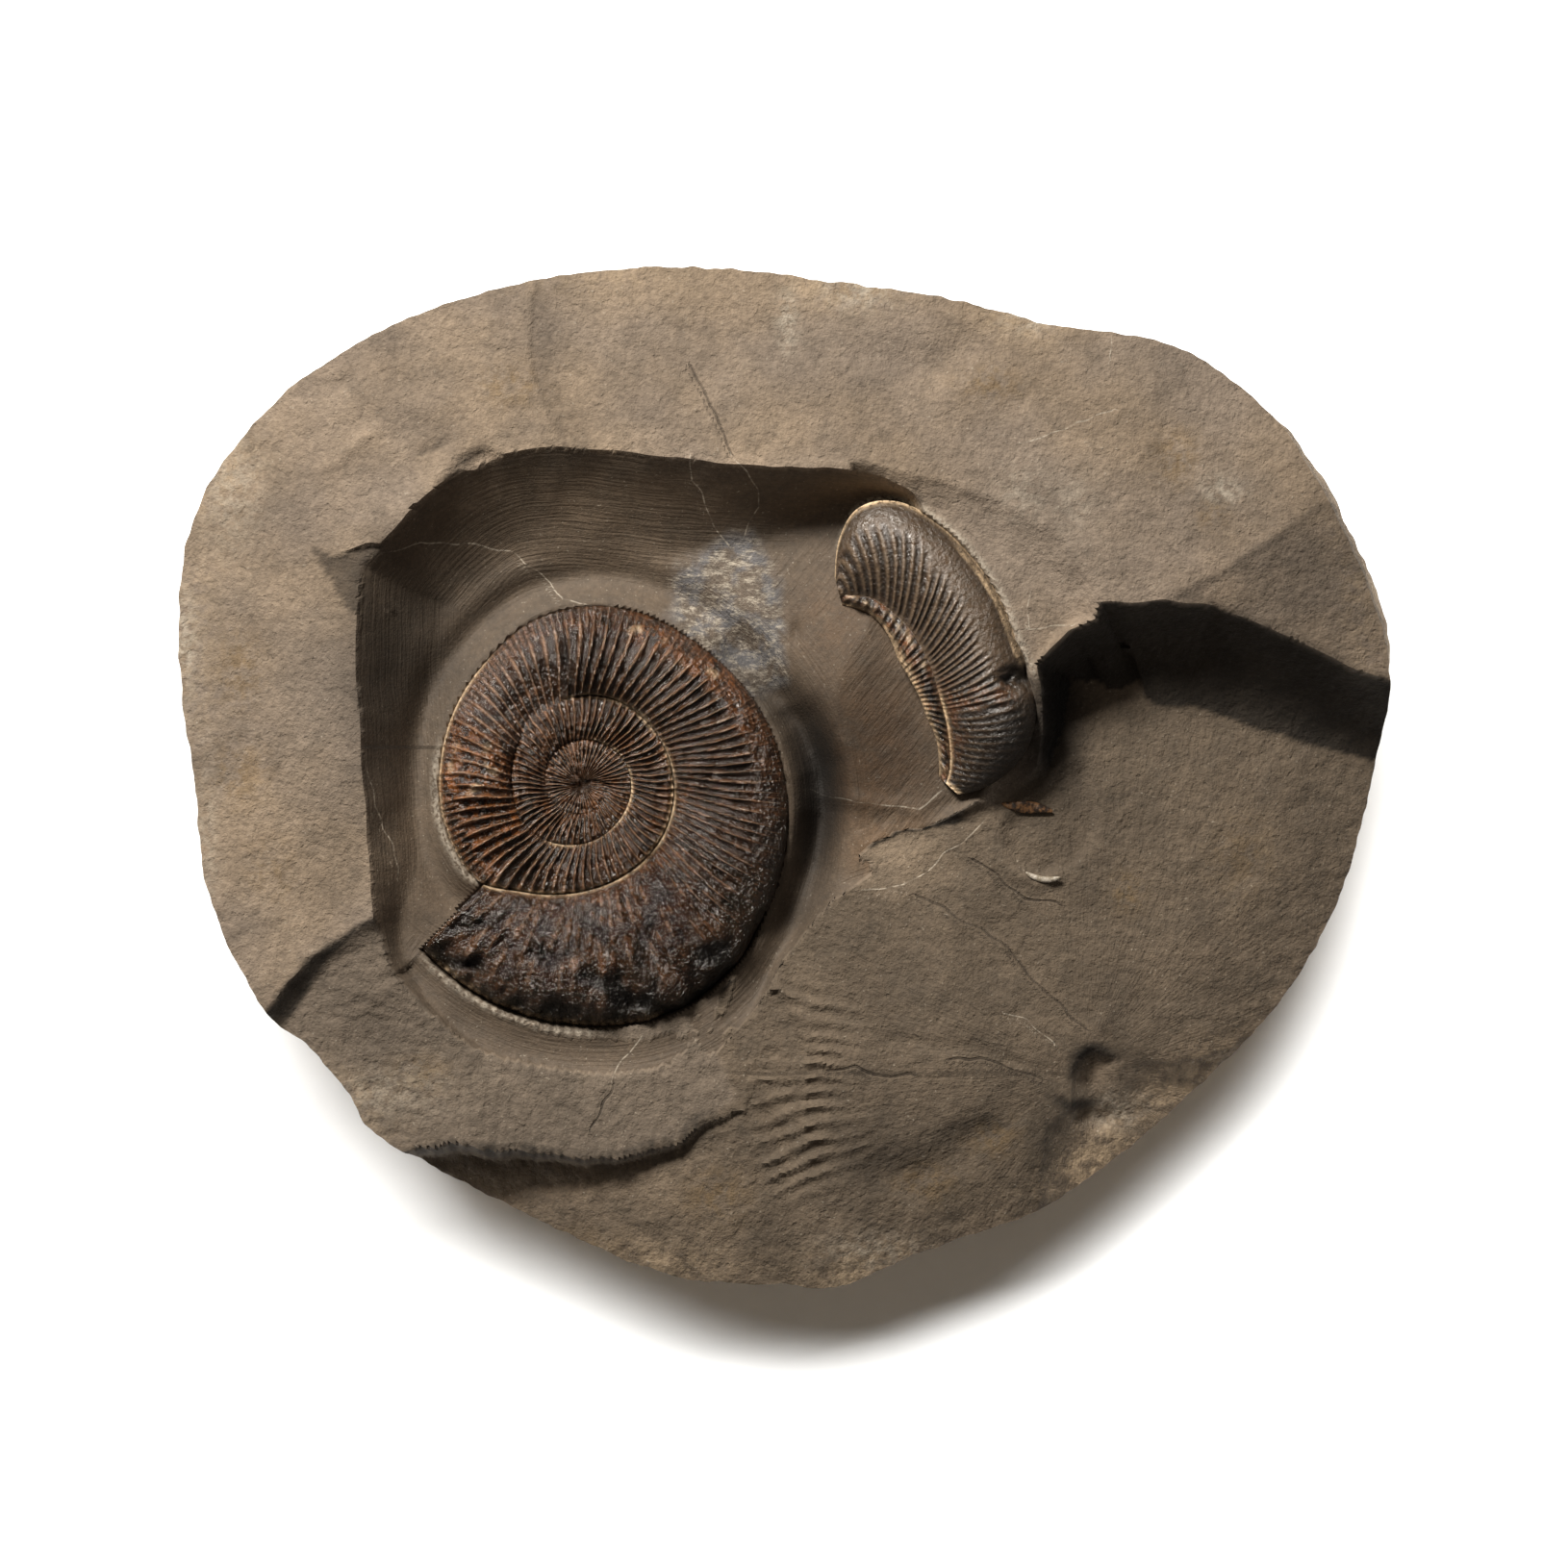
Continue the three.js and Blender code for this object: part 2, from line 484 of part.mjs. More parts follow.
// The large shell: one strip wound from the mouth to the middle, whose whorls share their seams, on a
// plain buried underside.
function largeShell() {
  const perTurn = RIBS_PER_WHORL * 2;
  const last = Math.round(perTurn * COIL_TURNS);
  const middle = { radius: 0, height: EDGE_DROP };
  const vertices = [[...COIL_CENTRE, COIL_MIDPLANE + middle.height]];
  const add = (point) => vertices.push(point) - 1;
  const turnedAt = (row) => (row / perTurn) * 360;
  const innerOf = (row) => (row + perTurn <= last ? seamOf(turnedAt(row) + 360) : middle);
  const outerAt = [];
  for (let row = 0; row <= last; row++) outerAt.push(add(coilPoint(turnedAt(row), 1, innerOf(row))));
  const rows = outerAt.map((outer, row) => {
    const linked = row + perTurn <= last;
    const spans = row === last ? 1 : row <= perTurn ? 4 : 2;
    const between = Array.from({ length: spans - 1 }, (_, k) => {
      const across = (k + 1) / spans;
      return [add(coilPoint(turnedAt(row), across, innerOf(row))), across];
    });
    return [[linked ? outerAt[row + perTurn] : 0, 0], ...between, [outer, 1]];
  });
  const triangles = rows.slice(0, -1).flatMap((row, i) => joinRows(row, rows[i + 1]));
  // The mouth drops straight down from the first row.
  const mouth = rows[0].slice(1, -1).map(([index]) => index);
  const dropped = mouth.map((index) => {
    const [x, y] = vertices[index];
    return add([x, y, COIL_MIDPLANE - EDGE_DROP]);
  });
  const foot = outerAt[perTurn];
  const footLow = add([vertices[foot][0], vertices[foot][1], COIL_MIDPLANE - MOUTH_FOOT_DROP]);
  const upper = [foot, ...mouth, outerAt[0]];
  const lower = [footLow, ...dropped, outerAt[0]];
  for (let k = 0; k + 1 < upper.length; k++)
    triangles.push([upper[k], lower[k], lower[k + 1]], [upper[k], lower[k + 1], upper[k + 1]]);
  triangles.push([foot, outerAt[perTurn - 1], footLow]);
  const edge = [...lower.slice(0, -1), ...outerAt.slice(0, perTurn)];
  triangles.push(...undersideOf(edge, vertices));
  return meshGeometry(vertices, triangles);
}

// Closes the large shell below its edge with coarse smooth rings, and adds their vertices.
function undersideOf(edge, vertices) {
  const add = (point) => vertices.push(point) - 1;
  const sparse = edge.filter((_, i) => i % COARSE === 0);
  const rings = UNDERSIDE.map(([share, depth]) => sparse.map((index) => {
    const [x, y] = vertices[index];
    return add([lerp(COIL_CENTRE[0], x, share), lerp(COIL_CENTRE[1], y, share), COIL_MIDPLANE - depth]);
  }));
  const bottom = add([...COIL_CENTRE, COIL_MIDPLANE - UNDERSIDE_DEPTH]);
  const triangles = [];
  sparse.forEach((_, i) => {
    const next = (i + 1) % sparse.length;
    const near = Array.from({ length: COARSE + 1 }, (_, k) => edge[(i * COARSE + k) % edge.length]);
    for (let k = 0; k < COARSE; k++)
      triangles.push([near[k], rings[0][k < COARSE / 2 ? i : next], near[k + 1]]);
    triangles.push([near[COARSE / 2], rings[0][i], rings[0][next]]);
    for (let k = 0; k + 1 < rings.length; k++) {
      const [a, b] = [rings[k], rings[k + 1]];
      triangles.push([a[i], b[i], b[next]], [a[i], b[next], a[next]]);
    }
    triangles.push([rings.at(-1)[i], bottom, rings.at(-1)[next]]);
  });
  return triangles;
}

// The room that the large shell takes in the rock.
function largeSocket() {
  const at = (turned, radius) => {
    const angle = degToRad(APERTURE_ANGLE + turned);
    return [COIL_CENTRE[0] + radius * Math.cos(angle), COIL_CENTRE[1] + radius * Math.sin(angle)];
  };
  const turns = Array.from({ length: SOCKET_STEPS }, (_, step) => (step / SOCKET_STEPS) * 360);
  const [inside, mouth] = [coilRadius(359), coilRadius(0)];
  const edge = [
    ...turns.map((turned) => at(turned, coilRadius(turned))),
    ...[0, 0.33, 0.67].map((share) => at(0, lerp(inside, mouth, share))),
  ];
  const outline = offsetOutline(edge, FIT_GAP + SOCKET_SLACK);
  const ring = (share, height) => outline.map(([x, y]) => [
    lerp(COIL_CENTRE[0], x, share),
    lerp(COIL_CENTRE[1], y, share),
    height,
  ]);
  const below = UNDERSIDE.map(([share, depth]) => ring(share, COIL_MIDPLANE - depth - FIT_GAP)).reverse();
  const edgeLow = COIL_MIDPLANE - EDGE_DROP - FIT_GAP - 0.05;
  const top = RIM_HEIGHT + 5;
  const low = [...COIL_CENTRE, COIL_MIDPLANE - UNDERSIDE_DEPTH - FIT_GAP];
  return solidOf(skinOverRings([...below, ring(1, edgeLow), ring(1, top)], low, [...COIL_CENTRE, top]));
}

const smallOuter = through(SMALL_OUTER);
const smallSeam = through(SMALL_SEAM);
const smallBorder = through(SMALL_BORDER);

// Rise of the small shell's crest, by its width: lower towards both ends.
function crestShare(angle) {
  const [from, to] = SMALL_ANGLES;
  const ends = smoothstep(angle, from, from + 7) * (1 - smoothstep(angle, to - 9, to));
  const dipping = 0.3 * (1 - smoothstep(angle, from, -10));
  return SMALL_CREST_SHARE * (1 - dipping) * (0.5 + 0.5 * ends);
}

// One section across the small shell, as radius and height, over the top and back below.
function smallSection(angle, rib) {
  const [border, seam, outer] = [smallBorder(angle), smallSeam(angle), smallOuter(angle)];
  const wide = outer - seam;
  const lean = Math.cos(degToRad(angle - SMALL_TILT_TOWARDS)) - 0.8;
  const level = SMALL_SEAM_HEIGHT + SMALL_TILT * lean;
  const top = SMALL_PROFILE.map(([across, lift]) => [
    seam + wide * across,
    level + wide * crestShare(angle) * lift + (across < 0.9 ? rib : 0),
  ]);
  return [
    [border, level + INNER_WHORL.border],
    [lerp(border, seam, 0.5), level + INNER_WHORL.middle + rib],
    [seam, level],
    ...top,
    [outer - 0.6, level - wide * 0.25],
    [seam + wide * 0.55, level - wide * 0.5],
    [border + 0.5, level - wide * 0.3 - 1.5],
  ];
}

const roundSmallCentre = (angle) => ([radius, height]) => [
  SMALL_CENTRE[0] + radius * Math.cos(degToRad(angle)),
  SMALL_CENTRE[1] + radius * Math.sin(degToRad(angle)),
  height,
];

function smallShell() {
  const [from, to] = SMALL_ANGLES;
  const steps = Math.round(((to - from) / 360) * RIBS_PER_WHORL * 2);
  const rings = Array.from({ length: steps + 1 }, (_, k) => {
    const angle = lerp(from, to, k / steps);
    const ends = k === 0 || k === steps;
    const side = k % 2 ? -1 : 1;
    const rib = ends ? 0 : side * RIB_HEIGHT * SMALL_RIB_SHARE;
    return smallSection(angle, rib).map(roundSmallCentre(angle));
  });
  return skinOverRings(rings, middleOf(rings[0]), middleOf(rings.at(-1)));
}

// The room that the small shell takes in the rock: its lower section grown outwards, and open above.
function smallSocket() {
  const [from, to] = SMALL_ANGLES;
  const top = RIM_HEIGHT + 5;
  const rings = Array.from({ length: SMALL_SOCKET_STEPS + 1 }, (_, k) => {
    const angle = lerp(from - 1.5, to + 1.5, k / SMALL_SOCKET_STEPS);
    const section = smallSection(clamp(angle, from, to), 0);
    const [border, outer] = [section[0], section.at(-4)];
    const lower = [border, [border[0], top], [outer[0], top], ...section.slice(-4)];
    const grown = offsetOutline(lower.reverse(), FIT_GAP + SOCKET_SLACK).reverse();
    return grown.map(roundSmallCentre(angle));
  });
  return solidOf(skinOverRings(rings, middleOf(rings[0]), middleOf(rings.at(-1))));
}

// A flake of shell as a flat plate let into the rock by half its thickness, or the room that it takes.
function flake(shape, at, raise, grow) {
  const depth = FLAKE_THICKNESS + (grow ? grow + FLAKE_CLEARANCE : 0);
  const geometry = new THREE.ExtrudeGeometry(shape, { depth, bevelEnabled: false, curveSegments: 3 });
  geometry.translate(at[0], at[1], imprintHeight(...at) + raise - FLAKE_THICKNESS / 2 - grow);
  return flakeSolid(geometry);
}

const splinter = (grow) => flake(splinterShape(grow), SPLINTER_AT, 0, grow);
const crescent = (grow) => flake(crescentShape(grow), CRESCENT_AT, CRESCENT_RAISE, grow);

function splinterShape(grow) {
  const [half, wide] = [SPLINTER_LENGTH / 2 + grow, SPLINTER_WIDTH / 2 + grow];
  const outline = [[-half, 0], [-half * 0.4, -wide], [half * 0.6, -wide * 0.8], [half, wide * 0.1],
    [half * 0.4, wide], [-half * 0.6, wide * 0.7]];
  const turn = degToRad(SPLINTER_TURN);
  const turned = ([x, y]) => new THREE.Vector2(x, y).rotateAround({ x: 0, y: 0 }, turn);
  return new THREE.Shape(outline.map(turned));
}

function crescentShape(grow) {
  const [from, to] = CRESCENT_ANGLES.map(degToRad);
  const extra = grow / CRESCENT_RADIUS;
  const outer = CRESCENT_RADIUS + CRESCENT_WIDTH / 2 + grow;
  const inner = CRESCENT_RADIUS - CRESCENT_WIDTH / 2 - grow;
  return new THREE.Shape()
    .absarc(0, 0, outer, from - extra, to + extra, false)
    .absarc(0, 0, inner, to + extra, from - extra, true);
}

// An extruded flake as an indexed solid, with its shared corners merged.
function flakeSolid(geometry) {
  const position = geometry.attributes.position;
  const found = new Map();
  const vertices = [];
  const corners = Array.from({ length: position.count }, (_, i) => {
    const point = [position.getX(i), position.getY(i), position.getZ(i)];
    const key = point.map((value) => value.toFixed(4)).join();
    if (!found.has(key)) found.set(key, vertices.push(point) - 1);
    return found.get(key);
  });
  return solidOf(meshGeometry(vertices, corners));
}

function stoneSolid() {
  const lowered = (face, depth) => (x, y) => face(x, y) - depth;
  const facet = (x, y) => slopingHeight(x, y, FACET_FALL);
  const chip = (x, y) => slopingHeight(x, y, CHIP_FALL);
  const low = { above: fractureHeight, inner: [0.5] };
  const wide = { inner: [0.8, 0.6, 0.4, 0.2], steps: [0.6, 0.25], bend: 2.2, above: facet };
  const cuts = [
    brokenFace(FACET_EDGE, 12, 0.5, [88, 30], facet),
    brokenFace(CHIP_EDGE, 20, 0.5, [-66, 32], chip, { inner: [0.5] }),
    brokenFace(NOTCH_EDGE, 20, 1.2, [-47, 48], lowered(rimHeight, NOTCH_DEPTH), { inner: [] }),
    brokenFace(COLLAR_EDGE, 20, 1, [34, 32], lowered(rimHeight, COLLAR_DEPTH), { inner: [0.5] }),
    brokenFace(TERRACE_EDGE, 12, 3, [-45, -60], terraceHeight, { inner: [0.5] }),
    brokenFace(LEDGE_EDGE, 12, 1.5, [-20, -85], fractureHeight, { inner: [0.85, 0.7, 0.5] }),
    brokenFace(FRACTURE_EDGE, 10, 3.5, [45, -35], fractureHeight, wide),
    brokenFace(BEVEL_EDGE, 14, 5, [62, -58], lowered(fractureHeight, BEVEL_DEPTH), low),
    brokenFace(BITE_EDGE, 20, 3.2, [49, -49], lowered(fractureHeight, BITE_DEPTH), low),
    brokenFace(IMPRINT_EDGE, 20, 1.6, [41, -7], imprintHeight, low),
    basinCut(),
    largeSocket(),
    smallSocket(),
    splinter(FIT_GAP),
    crescent(FIT_GAP),
  ];
  return cuts.reduce((stone, cut) => stone.subtract(cut), noduleSolid());
}

function piece(name, geometry, color, roughness) {
  const material = new THREE.MeshStandardMaterial({ color, roughness, metalness: 0 });
  const mesh = new THREE.Mesh(geometry, material);
  mesh.name = name;
  return mesh;
}

const specimen = new THREE.Group();
specimen.add(
  piece("matrix_nodule", geometryOf(stoneSolid()), "#7c6f60", 0.9),
  piece("large_ammonite", largeShell(), "#3d2b20", 0.38),
  piece("small_ammonite", smallShell(), "#3a2c24", 0.32),
  piece("shell_splinter", geometryOf(splinter(0)), "#5a3420", 0.4),
  piece("shell_crescent", geometryOf(crescent(0)), "#b3aa9b", 0.45),
);

export default specimen;
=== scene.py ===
"""Two ribbed fossil shells in a split mudstone nodule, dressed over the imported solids.

Shapes are worked out in millimetres and placed in metres. +Z is up and the split face looks up.
"""
import logging
import math
from dataclasses import dataclass
from functools import cached_property
from typing import Callable

import bpy
import numpy as np
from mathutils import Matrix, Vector


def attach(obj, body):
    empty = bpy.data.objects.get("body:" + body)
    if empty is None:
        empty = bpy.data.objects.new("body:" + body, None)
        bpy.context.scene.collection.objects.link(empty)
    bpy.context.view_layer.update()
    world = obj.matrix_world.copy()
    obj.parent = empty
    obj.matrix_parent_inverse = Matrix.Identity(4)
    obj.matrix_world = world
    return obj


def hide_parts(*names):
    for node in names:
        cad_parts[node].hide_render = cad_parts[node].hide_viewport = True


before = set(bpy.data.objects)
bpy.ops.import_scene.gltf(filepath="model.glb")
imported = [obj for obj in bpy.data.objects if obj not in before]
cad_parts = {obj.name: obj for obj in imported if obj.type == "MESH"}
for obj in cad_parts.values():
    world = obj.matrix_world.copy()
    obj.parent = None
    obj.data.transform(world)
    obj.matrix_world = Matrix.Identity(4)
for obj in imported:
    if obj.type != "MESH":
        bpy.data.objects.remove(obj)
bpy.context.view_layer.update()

LOG = logging.getLogger("fossil")
MM = 0.001
Array = np.ndarray
Socket = bpy.types.NodeSocket
Path = tuple[tuple[float, ...], ...]


# Plain helpers for curves, outlines and noise


def through(points: Path) -> Callable[[Array], Array]:
    """Makes a smooth curve through given points.

    Args:
        points: pairs of a rising first value and a second value.

    Returns:
        The second value as a function of the first.
    """
    xs = np.array([p[0] for p in points], float)
    ys = np.array([p[1] for p in points], float)
    slopes = np.empty_like(ys)
    slopes[1:-1] = (ys[2:] - ys[:-2]) / (xs[2:] - xs[:-2])
    slopes[0] = (ys[1] - ys[0]) / (xs[1] - xs[0])
    slopes[-1] = (ys[-1] - ys[-2]) / (xs[-1] - xs[-2])

    def curve(x: Array) -> Array:
        """The curve's value at x, held level past both ends."""
        x = np.clip(x, xs[0], xs[-1])
        i = np.clip(np.searchsorted(xs, x, side="right") - 1, 0, len(xs) - 2)
        span = xs[i + 1] - xs[i]
        t = (x - xs[i]) / span
        start = ys[i] * (1 + 2 * t) * (1 - t) ** 2 + slopes[i] * span * t * (1 - t) ** 2
        end = ys[i + 1] * t * t * (3 - 2 * t) + slopes[i + 1] * span * t * t * (t - 1)
        return start + end

    return curve


def held(x: Array) -> Array:
    """A value held between 0 and 1."""
    return np.clip(x, 0.0, 1.0)


def rise(low: float, high: float, x: Array) -> Array:
    """A smooth rise from 0 at low to 1 at high."""
    t = held((x - low) / (high - low))
    return t * t * (3 - 2 * t)


def fading(low: float, high: float, x: Array) -> Array:
    """A smooth fall from 1 at low to 0 at high."""
    return 1 - rise(low, high, x)


def between(low: float, high: float, x: Array, soft: float) -> Array:
    """1 from low to high and 0 outside, with soft ends."""
    return rise(low - soft, low + soft, x) * fading(high - soft, high + soft, x)


def bump(x: Array, middle: float, width: float) -> Array:
    """A bell of height 1."""
    return np.exp(-(((x - middle) / width) ** 2))


def noise(x: Array, y: Array, size: float, seed: int) -> Array:
    """Smooth noise from about -1 to 1.

    Args:
        x: first coordinate.
        y: second coordinate.
        size: spacing of the lumps, in the coordinates' unit.
        seed: picks one of many patterns.

    Returns:
        The noise at each point.
    """
    u, v = x / size, y / size
    i, j = np.floor(u), np.floor(v)
    f, g = u - i, v - j

    def corner(di: int, dj: int) -> Array:
        """The slope noise of one corner of the cell."""
        mixed = np.sin((i + di) * 127.1 + (j + dj) * 311.7 + seed * 74.7) * 43758.5453
        angle = (mixed - np.floor(mixed)) * 2 * math.pi
        return np.cos(angle) * (f - di) + np.sin(angle) * (g - dj)

    a = f * f * f * (f * (f * 6 - 15) + 10)
    b = g * g * g * (g * (g * 6 - 15) + 10)
    low = corner(0, 0) * (1 - a) + corner(1, 0) * a
    high = corner(0, 1) * (1 - a) + corner(1, 1) * a
    return 1.5 * (low * (1 - b) + high * b)


def noise_along(run: Array, size: float, seed: int) -> Array:
    """Noise that changes along one coordinate only."""
    return noise(run, run * 0, size, seed)


def fractal(x: Array, y: Array, size: float, seed: int, octaves: int = 4) -> Array:
    """Noise with ever finer octaves, each half as strong as the last."""
    parts = [noise(x, y, size / 2**k, seed + 17 * k) / 2**k for k in range(octaves)]
    return sum(parts)


def inside_distance(x: Array, y: Array, corners: Path) -> tuple[Array, Array]:
    """Distance to a closed outline.

    Args:
        x: first coordinate of each point.
        y: second coordinate of each point.
        corners: the outline's corners, with a third value that runs along it, or none.

    Returns:
        The distance, positive inside, and the third value at the nearest edge.
    """
    best = np.full(x.shape, 1e12)
    value = np.zeros(x.shape)
    inside = np.zeros(x.shape, bool)
    for start, end in zip(corners, corners[1:] + corners[:1]):
        ex, ey = end[0] - start[0], end[1] - start[1]
        t = held(((x - start[0]) * ex + (y - start[1]) * ey) / (ex * ex + ey * ey))
        squared = (x - start[0] - t * ex) ** 2 + (y - start[1] - t * ey) ** 2
        nearer = squared < best
        best = np.where(nearer, squared, best)
        if len(start) > 2:
            value = np.where(nearer, start[2] + (end[2] - start[2]) * t, value)
        if ey != 0:
            crosses = (start[1] > y) != (end[1] > y)
            inside ^= crosses & (x < start[0] + (y - start[1]) * ex / ey)
    return np.where(inside, 1, -1) * np.sqrt(best), value


def path_offset(x: Array, y: Array, path: Path) -> tuple[Array, Array, Array]:
    """Place of points beside an open path.

    Args:
        x: first coordinate of each point.
        y: second coordinate of each point.
        path: the path's corners.

    Returns:
        The distance, the signed offset (positive on the left) and the share of the length gone.
    """
    best = np.full(x.shape, 1e12)
    side = np.ones(x.shape)
    along = np.zeros(x.shape)
    lengths = [math.dist(a[:2], b[:2]) for a, b in zip(path, path[1:])]
    total = sum(lengths)
    done = 0.0
    for start, end, length in zip(path, path[1:], lengths):
        ex, ey = end[0] - start[0], end[1] - start[1]
        t = held(((x - start[0]) * ex + (y - start[1]) * ey) / length**2)
        squared = (x - start[0] - t * ex) ** 2 + (y - start[1] - t * ey) ** 2
        nearer = squared < best
        best = np.where(nearer, squared, best)
        turn = np.sign((y - start[1]) * ex - (x - start[0]) * ey)
        side = np.where(nearer, np.where(turn == 0, 1, turn), side)
        along = np.where(nearer, (done + t * length) / total, along)
        done += length
    distance = np.sqrt(best)
    return distance, distance * side, along


def smooth_loop(corners: Path, per_side: int) -> Path:
    """A closed curve through the corners, with a fixed count of points for each side."""
    points = np.array(corners, float)
    before, after, beyond = (np.roll(points, shift, axis=0) for shift in (1, -1, -2))
    found = []
    for t in np.arange(per_side) / per_side:
        cubic = -before + 3 * points - 3 * after + beyond
        square = 2 * before - 5 * points + 4 * after - beyond
        found.append(0.5 * (2 * points + (after - before) * t + square * t * t + cubic * t**3))
    rows = np.stack(found, axis=1).reshape(-1, points.shape[1])
    return tuple(tuple(row) for row in rows)


# The stone's forms, seen from above, in millimetres


@dataclass(frozen=True)
class Cut:
    """A broken or worked face: its outline, the width of its wall and the height of its floor.

    An outline whose corners have a third value takes the width of its wall from that.
    """

    outline: Path
    wall: float
    floor: Callable[[Array, Array], Array]
    wobble: float = 0.5
    from_rim: bool = True
    bend: float = 1.6


@dataclass(frozen=True)
class Stroke:
    """A ridge or groove along a path: its width, and its height, which is negative for a groove."""

    path: Path
    width: float
    height: float

    def share(self, x: Array, y: Array, trim: float, taper: float) -> Array:
        """How much of the stroke is felt at each point.

        Args:
            x: first coordinate of each point.
            y: second coordinate of each point.
            trim: share of the length past which an end fades no further.
            taper: power of the fading, lower for blunter ends.

        Returns:
            1 along the middle of the path, falling to 0 beside it and lower towards its ends.
        """
        distance, _, along = path_offset(x, y, self.path)
        ends = np.sin(math.pi * np.clip(along, trim, 1 - trim)) ** taper
        return bump(distance, 0, self.width) * ends


@dataclass(frozen=True)
class Spot:
    """A soft round patch: its middle, radii along X and Y, and strength."""

    at: tuple[float, float]
    radii: tuple[float, float]
    strength: float = 1.0

    def felt(self, x: Array, y: Array) -> Array:
        """The patch's strength at each point, fading away from its middle."""
        squared = ((x - self.at[0]) / self.radii[0]) ** 2 + ((y - self.at[1]) / self.radii[1]) ** 2
        return self.strength * np.exp(-squared)


def spots(*rows: tuple[float, ...]) -> tuple[Spot, ...]:
    """Soft patches from rows of X, Y, the radii along X and Y and, where it isn't 1, the strength."""
    return tuple(Spot((x, y), (wide, high), *strength) for x, y, wide, high, *strength in rows)


@dataclass(frozen=True)
class Step:
    """A step: the ground on the right of the path is lower, and rises again over the fading length."""

    path: Path
    drop: float
    fade: float


def around(centre: tuple[float, float], degrees: Array, radius: Array, height: Array) -> Array:
    """Points by their direction from a centre, their radius and their height."""
    angle = np.radians(degrees)
    x = centre[0] + radius * np.cos(angle)
    y = centre[1] + radius * np.sin(angle)
    return np.stack([x, y, height], axis=-1)


@dataclass(frozen=True)
class Coil:
    """The large shell's plan: a spiral that shrinks counterclockwise from its mouth."""

    centre: tuple[float, float] = (-31.7, -0.8)
    midplane: float = 36.0
    mouth_angle: float = 226.0
    seam_from: float = 356.0
    turns: float = 3.5
    half_thickness_share: float = 0.215
    seam_share: float = 0.6
    radii: Path = (
        (0, 36.2), (45, 38.3), (68, 38.8), (86, 37.3), (104, 34.8), (144, 31.5), (179, 28.8),
        (213, 28.3), (238, 27), (264, 24.3), (300, 22.5), (340, 22.4), (356, 22.2), (376, 19),
        (413, 16.3), (464, 15), (516, 14.2), (574, 14.1), (620, 12.4), (669, 11), (716, 10.7),
        (755, 9.6), (807, 8.2), (879, 7.6), (961, 6.8), (1073, 5.1), (1170, 4.3), (1260, 3.6),
    )

    def radius(self, turned: Array) -> Array:
        """Radius of the outer edge or seam, by degrees unwound from the mouth."""
        return through(self.radii)(turned)

    def unwound(self, x: Array, y: Array) -> Array:
        """Degrees unwound from the mouth, for a direction from the centre."""
        angle = np.degrees(np.arctan2(y - self.centre[1], x - self.centre[0]))
        return (angle - self.mouth_angle) % 360

    def beyond(self, x: Array, y: Array) -> Array:
        """Distance outside the shell's outer edge, along the radius."""
        away = np.hypot(x - self.centre[0], y - self.centre[1])
        return away - self.radius(self.unwound(x, y))


@dataclass(frozen=True)
class Arc:
    """The small shell's plan: a bent stretch of whorl that leans out of the rock."""

    centre: tuple[float, float] = (13.6, 10.2)
    seam_height: float = 43.8
    angles: tuple[float, float] = (-43.0, 105.0)
    tilt: float = 5.5
    tilt_towards: float = 45.0
    crest_share: float = 0.36
    outer: Path = (
        (-43, 18.4), (-34, 20.9), (-17, 24.3), (-3, 25.5), (14, 25.5), (27, 25.3), (41, 26.8),
        (57, 29), (70, 31.3), (83.5, 33.2), (94, 31.9), (100.6, 27.5), (105, 22),
    )
    seam: Path = (
        (-43, 16), (-13, 12.3), (17.5, 11), (48, 12.5), (76, 15.8), (90, 18), (105, 19),
    )
    border: Path = ((-43, 14.4), (-28, 11.8), (2, 8.3), (60, 9), (90, 15.3), (105, 17.6))

    def polar(self, x: Array, y: Array) -> tuple[Array, Array]:
        """Distance and direction, in degrees, from the centre."""
        dx, dy = x - self.centre[0], y - self.centre[1]
        return np.hypot(dx, dy), np.degrees(np.arctan2(dy, dx))

    def level(self, angle: Array) -> Array:
        """Height of the seam at an angle."""
        lean = np.cos(np.radians(angle - self.tilt_towards)) - 0.8
        return self.seam_height + self.tilt * lean

    def depth_inside(self, x: Array, y: Array) -> Array:
        """Distance inside the shell's plan, negative outside."""
        away, angle = self.polar(x, y)
        across = np.minimum(through(self.outer)(angle) - away, away - through(self.border)(angle))
        ends = np.minimum(angle - self.angles[0], self.angles[1] - angle)
        return np.minimum(across, np.radians(ends) * away)


COIL = Coil()
ARC = Arc()
# Past this share of the way to the outline, points stay on their rings
NEAR_EDGE = 0.985
# Distance from the blow at which a turn by one radian counts as that many millimetres
HACKLE_REACH = 44
# Outline of the rough, blue-grey and white patch between the shells
SPECKLED: Path = (
    (-18, 31), (-12, 36), (-5, 38.5), (-1, 33), (0, 24), (0, 16), (-5, 12), (-11, 19), (-18, 25),
)


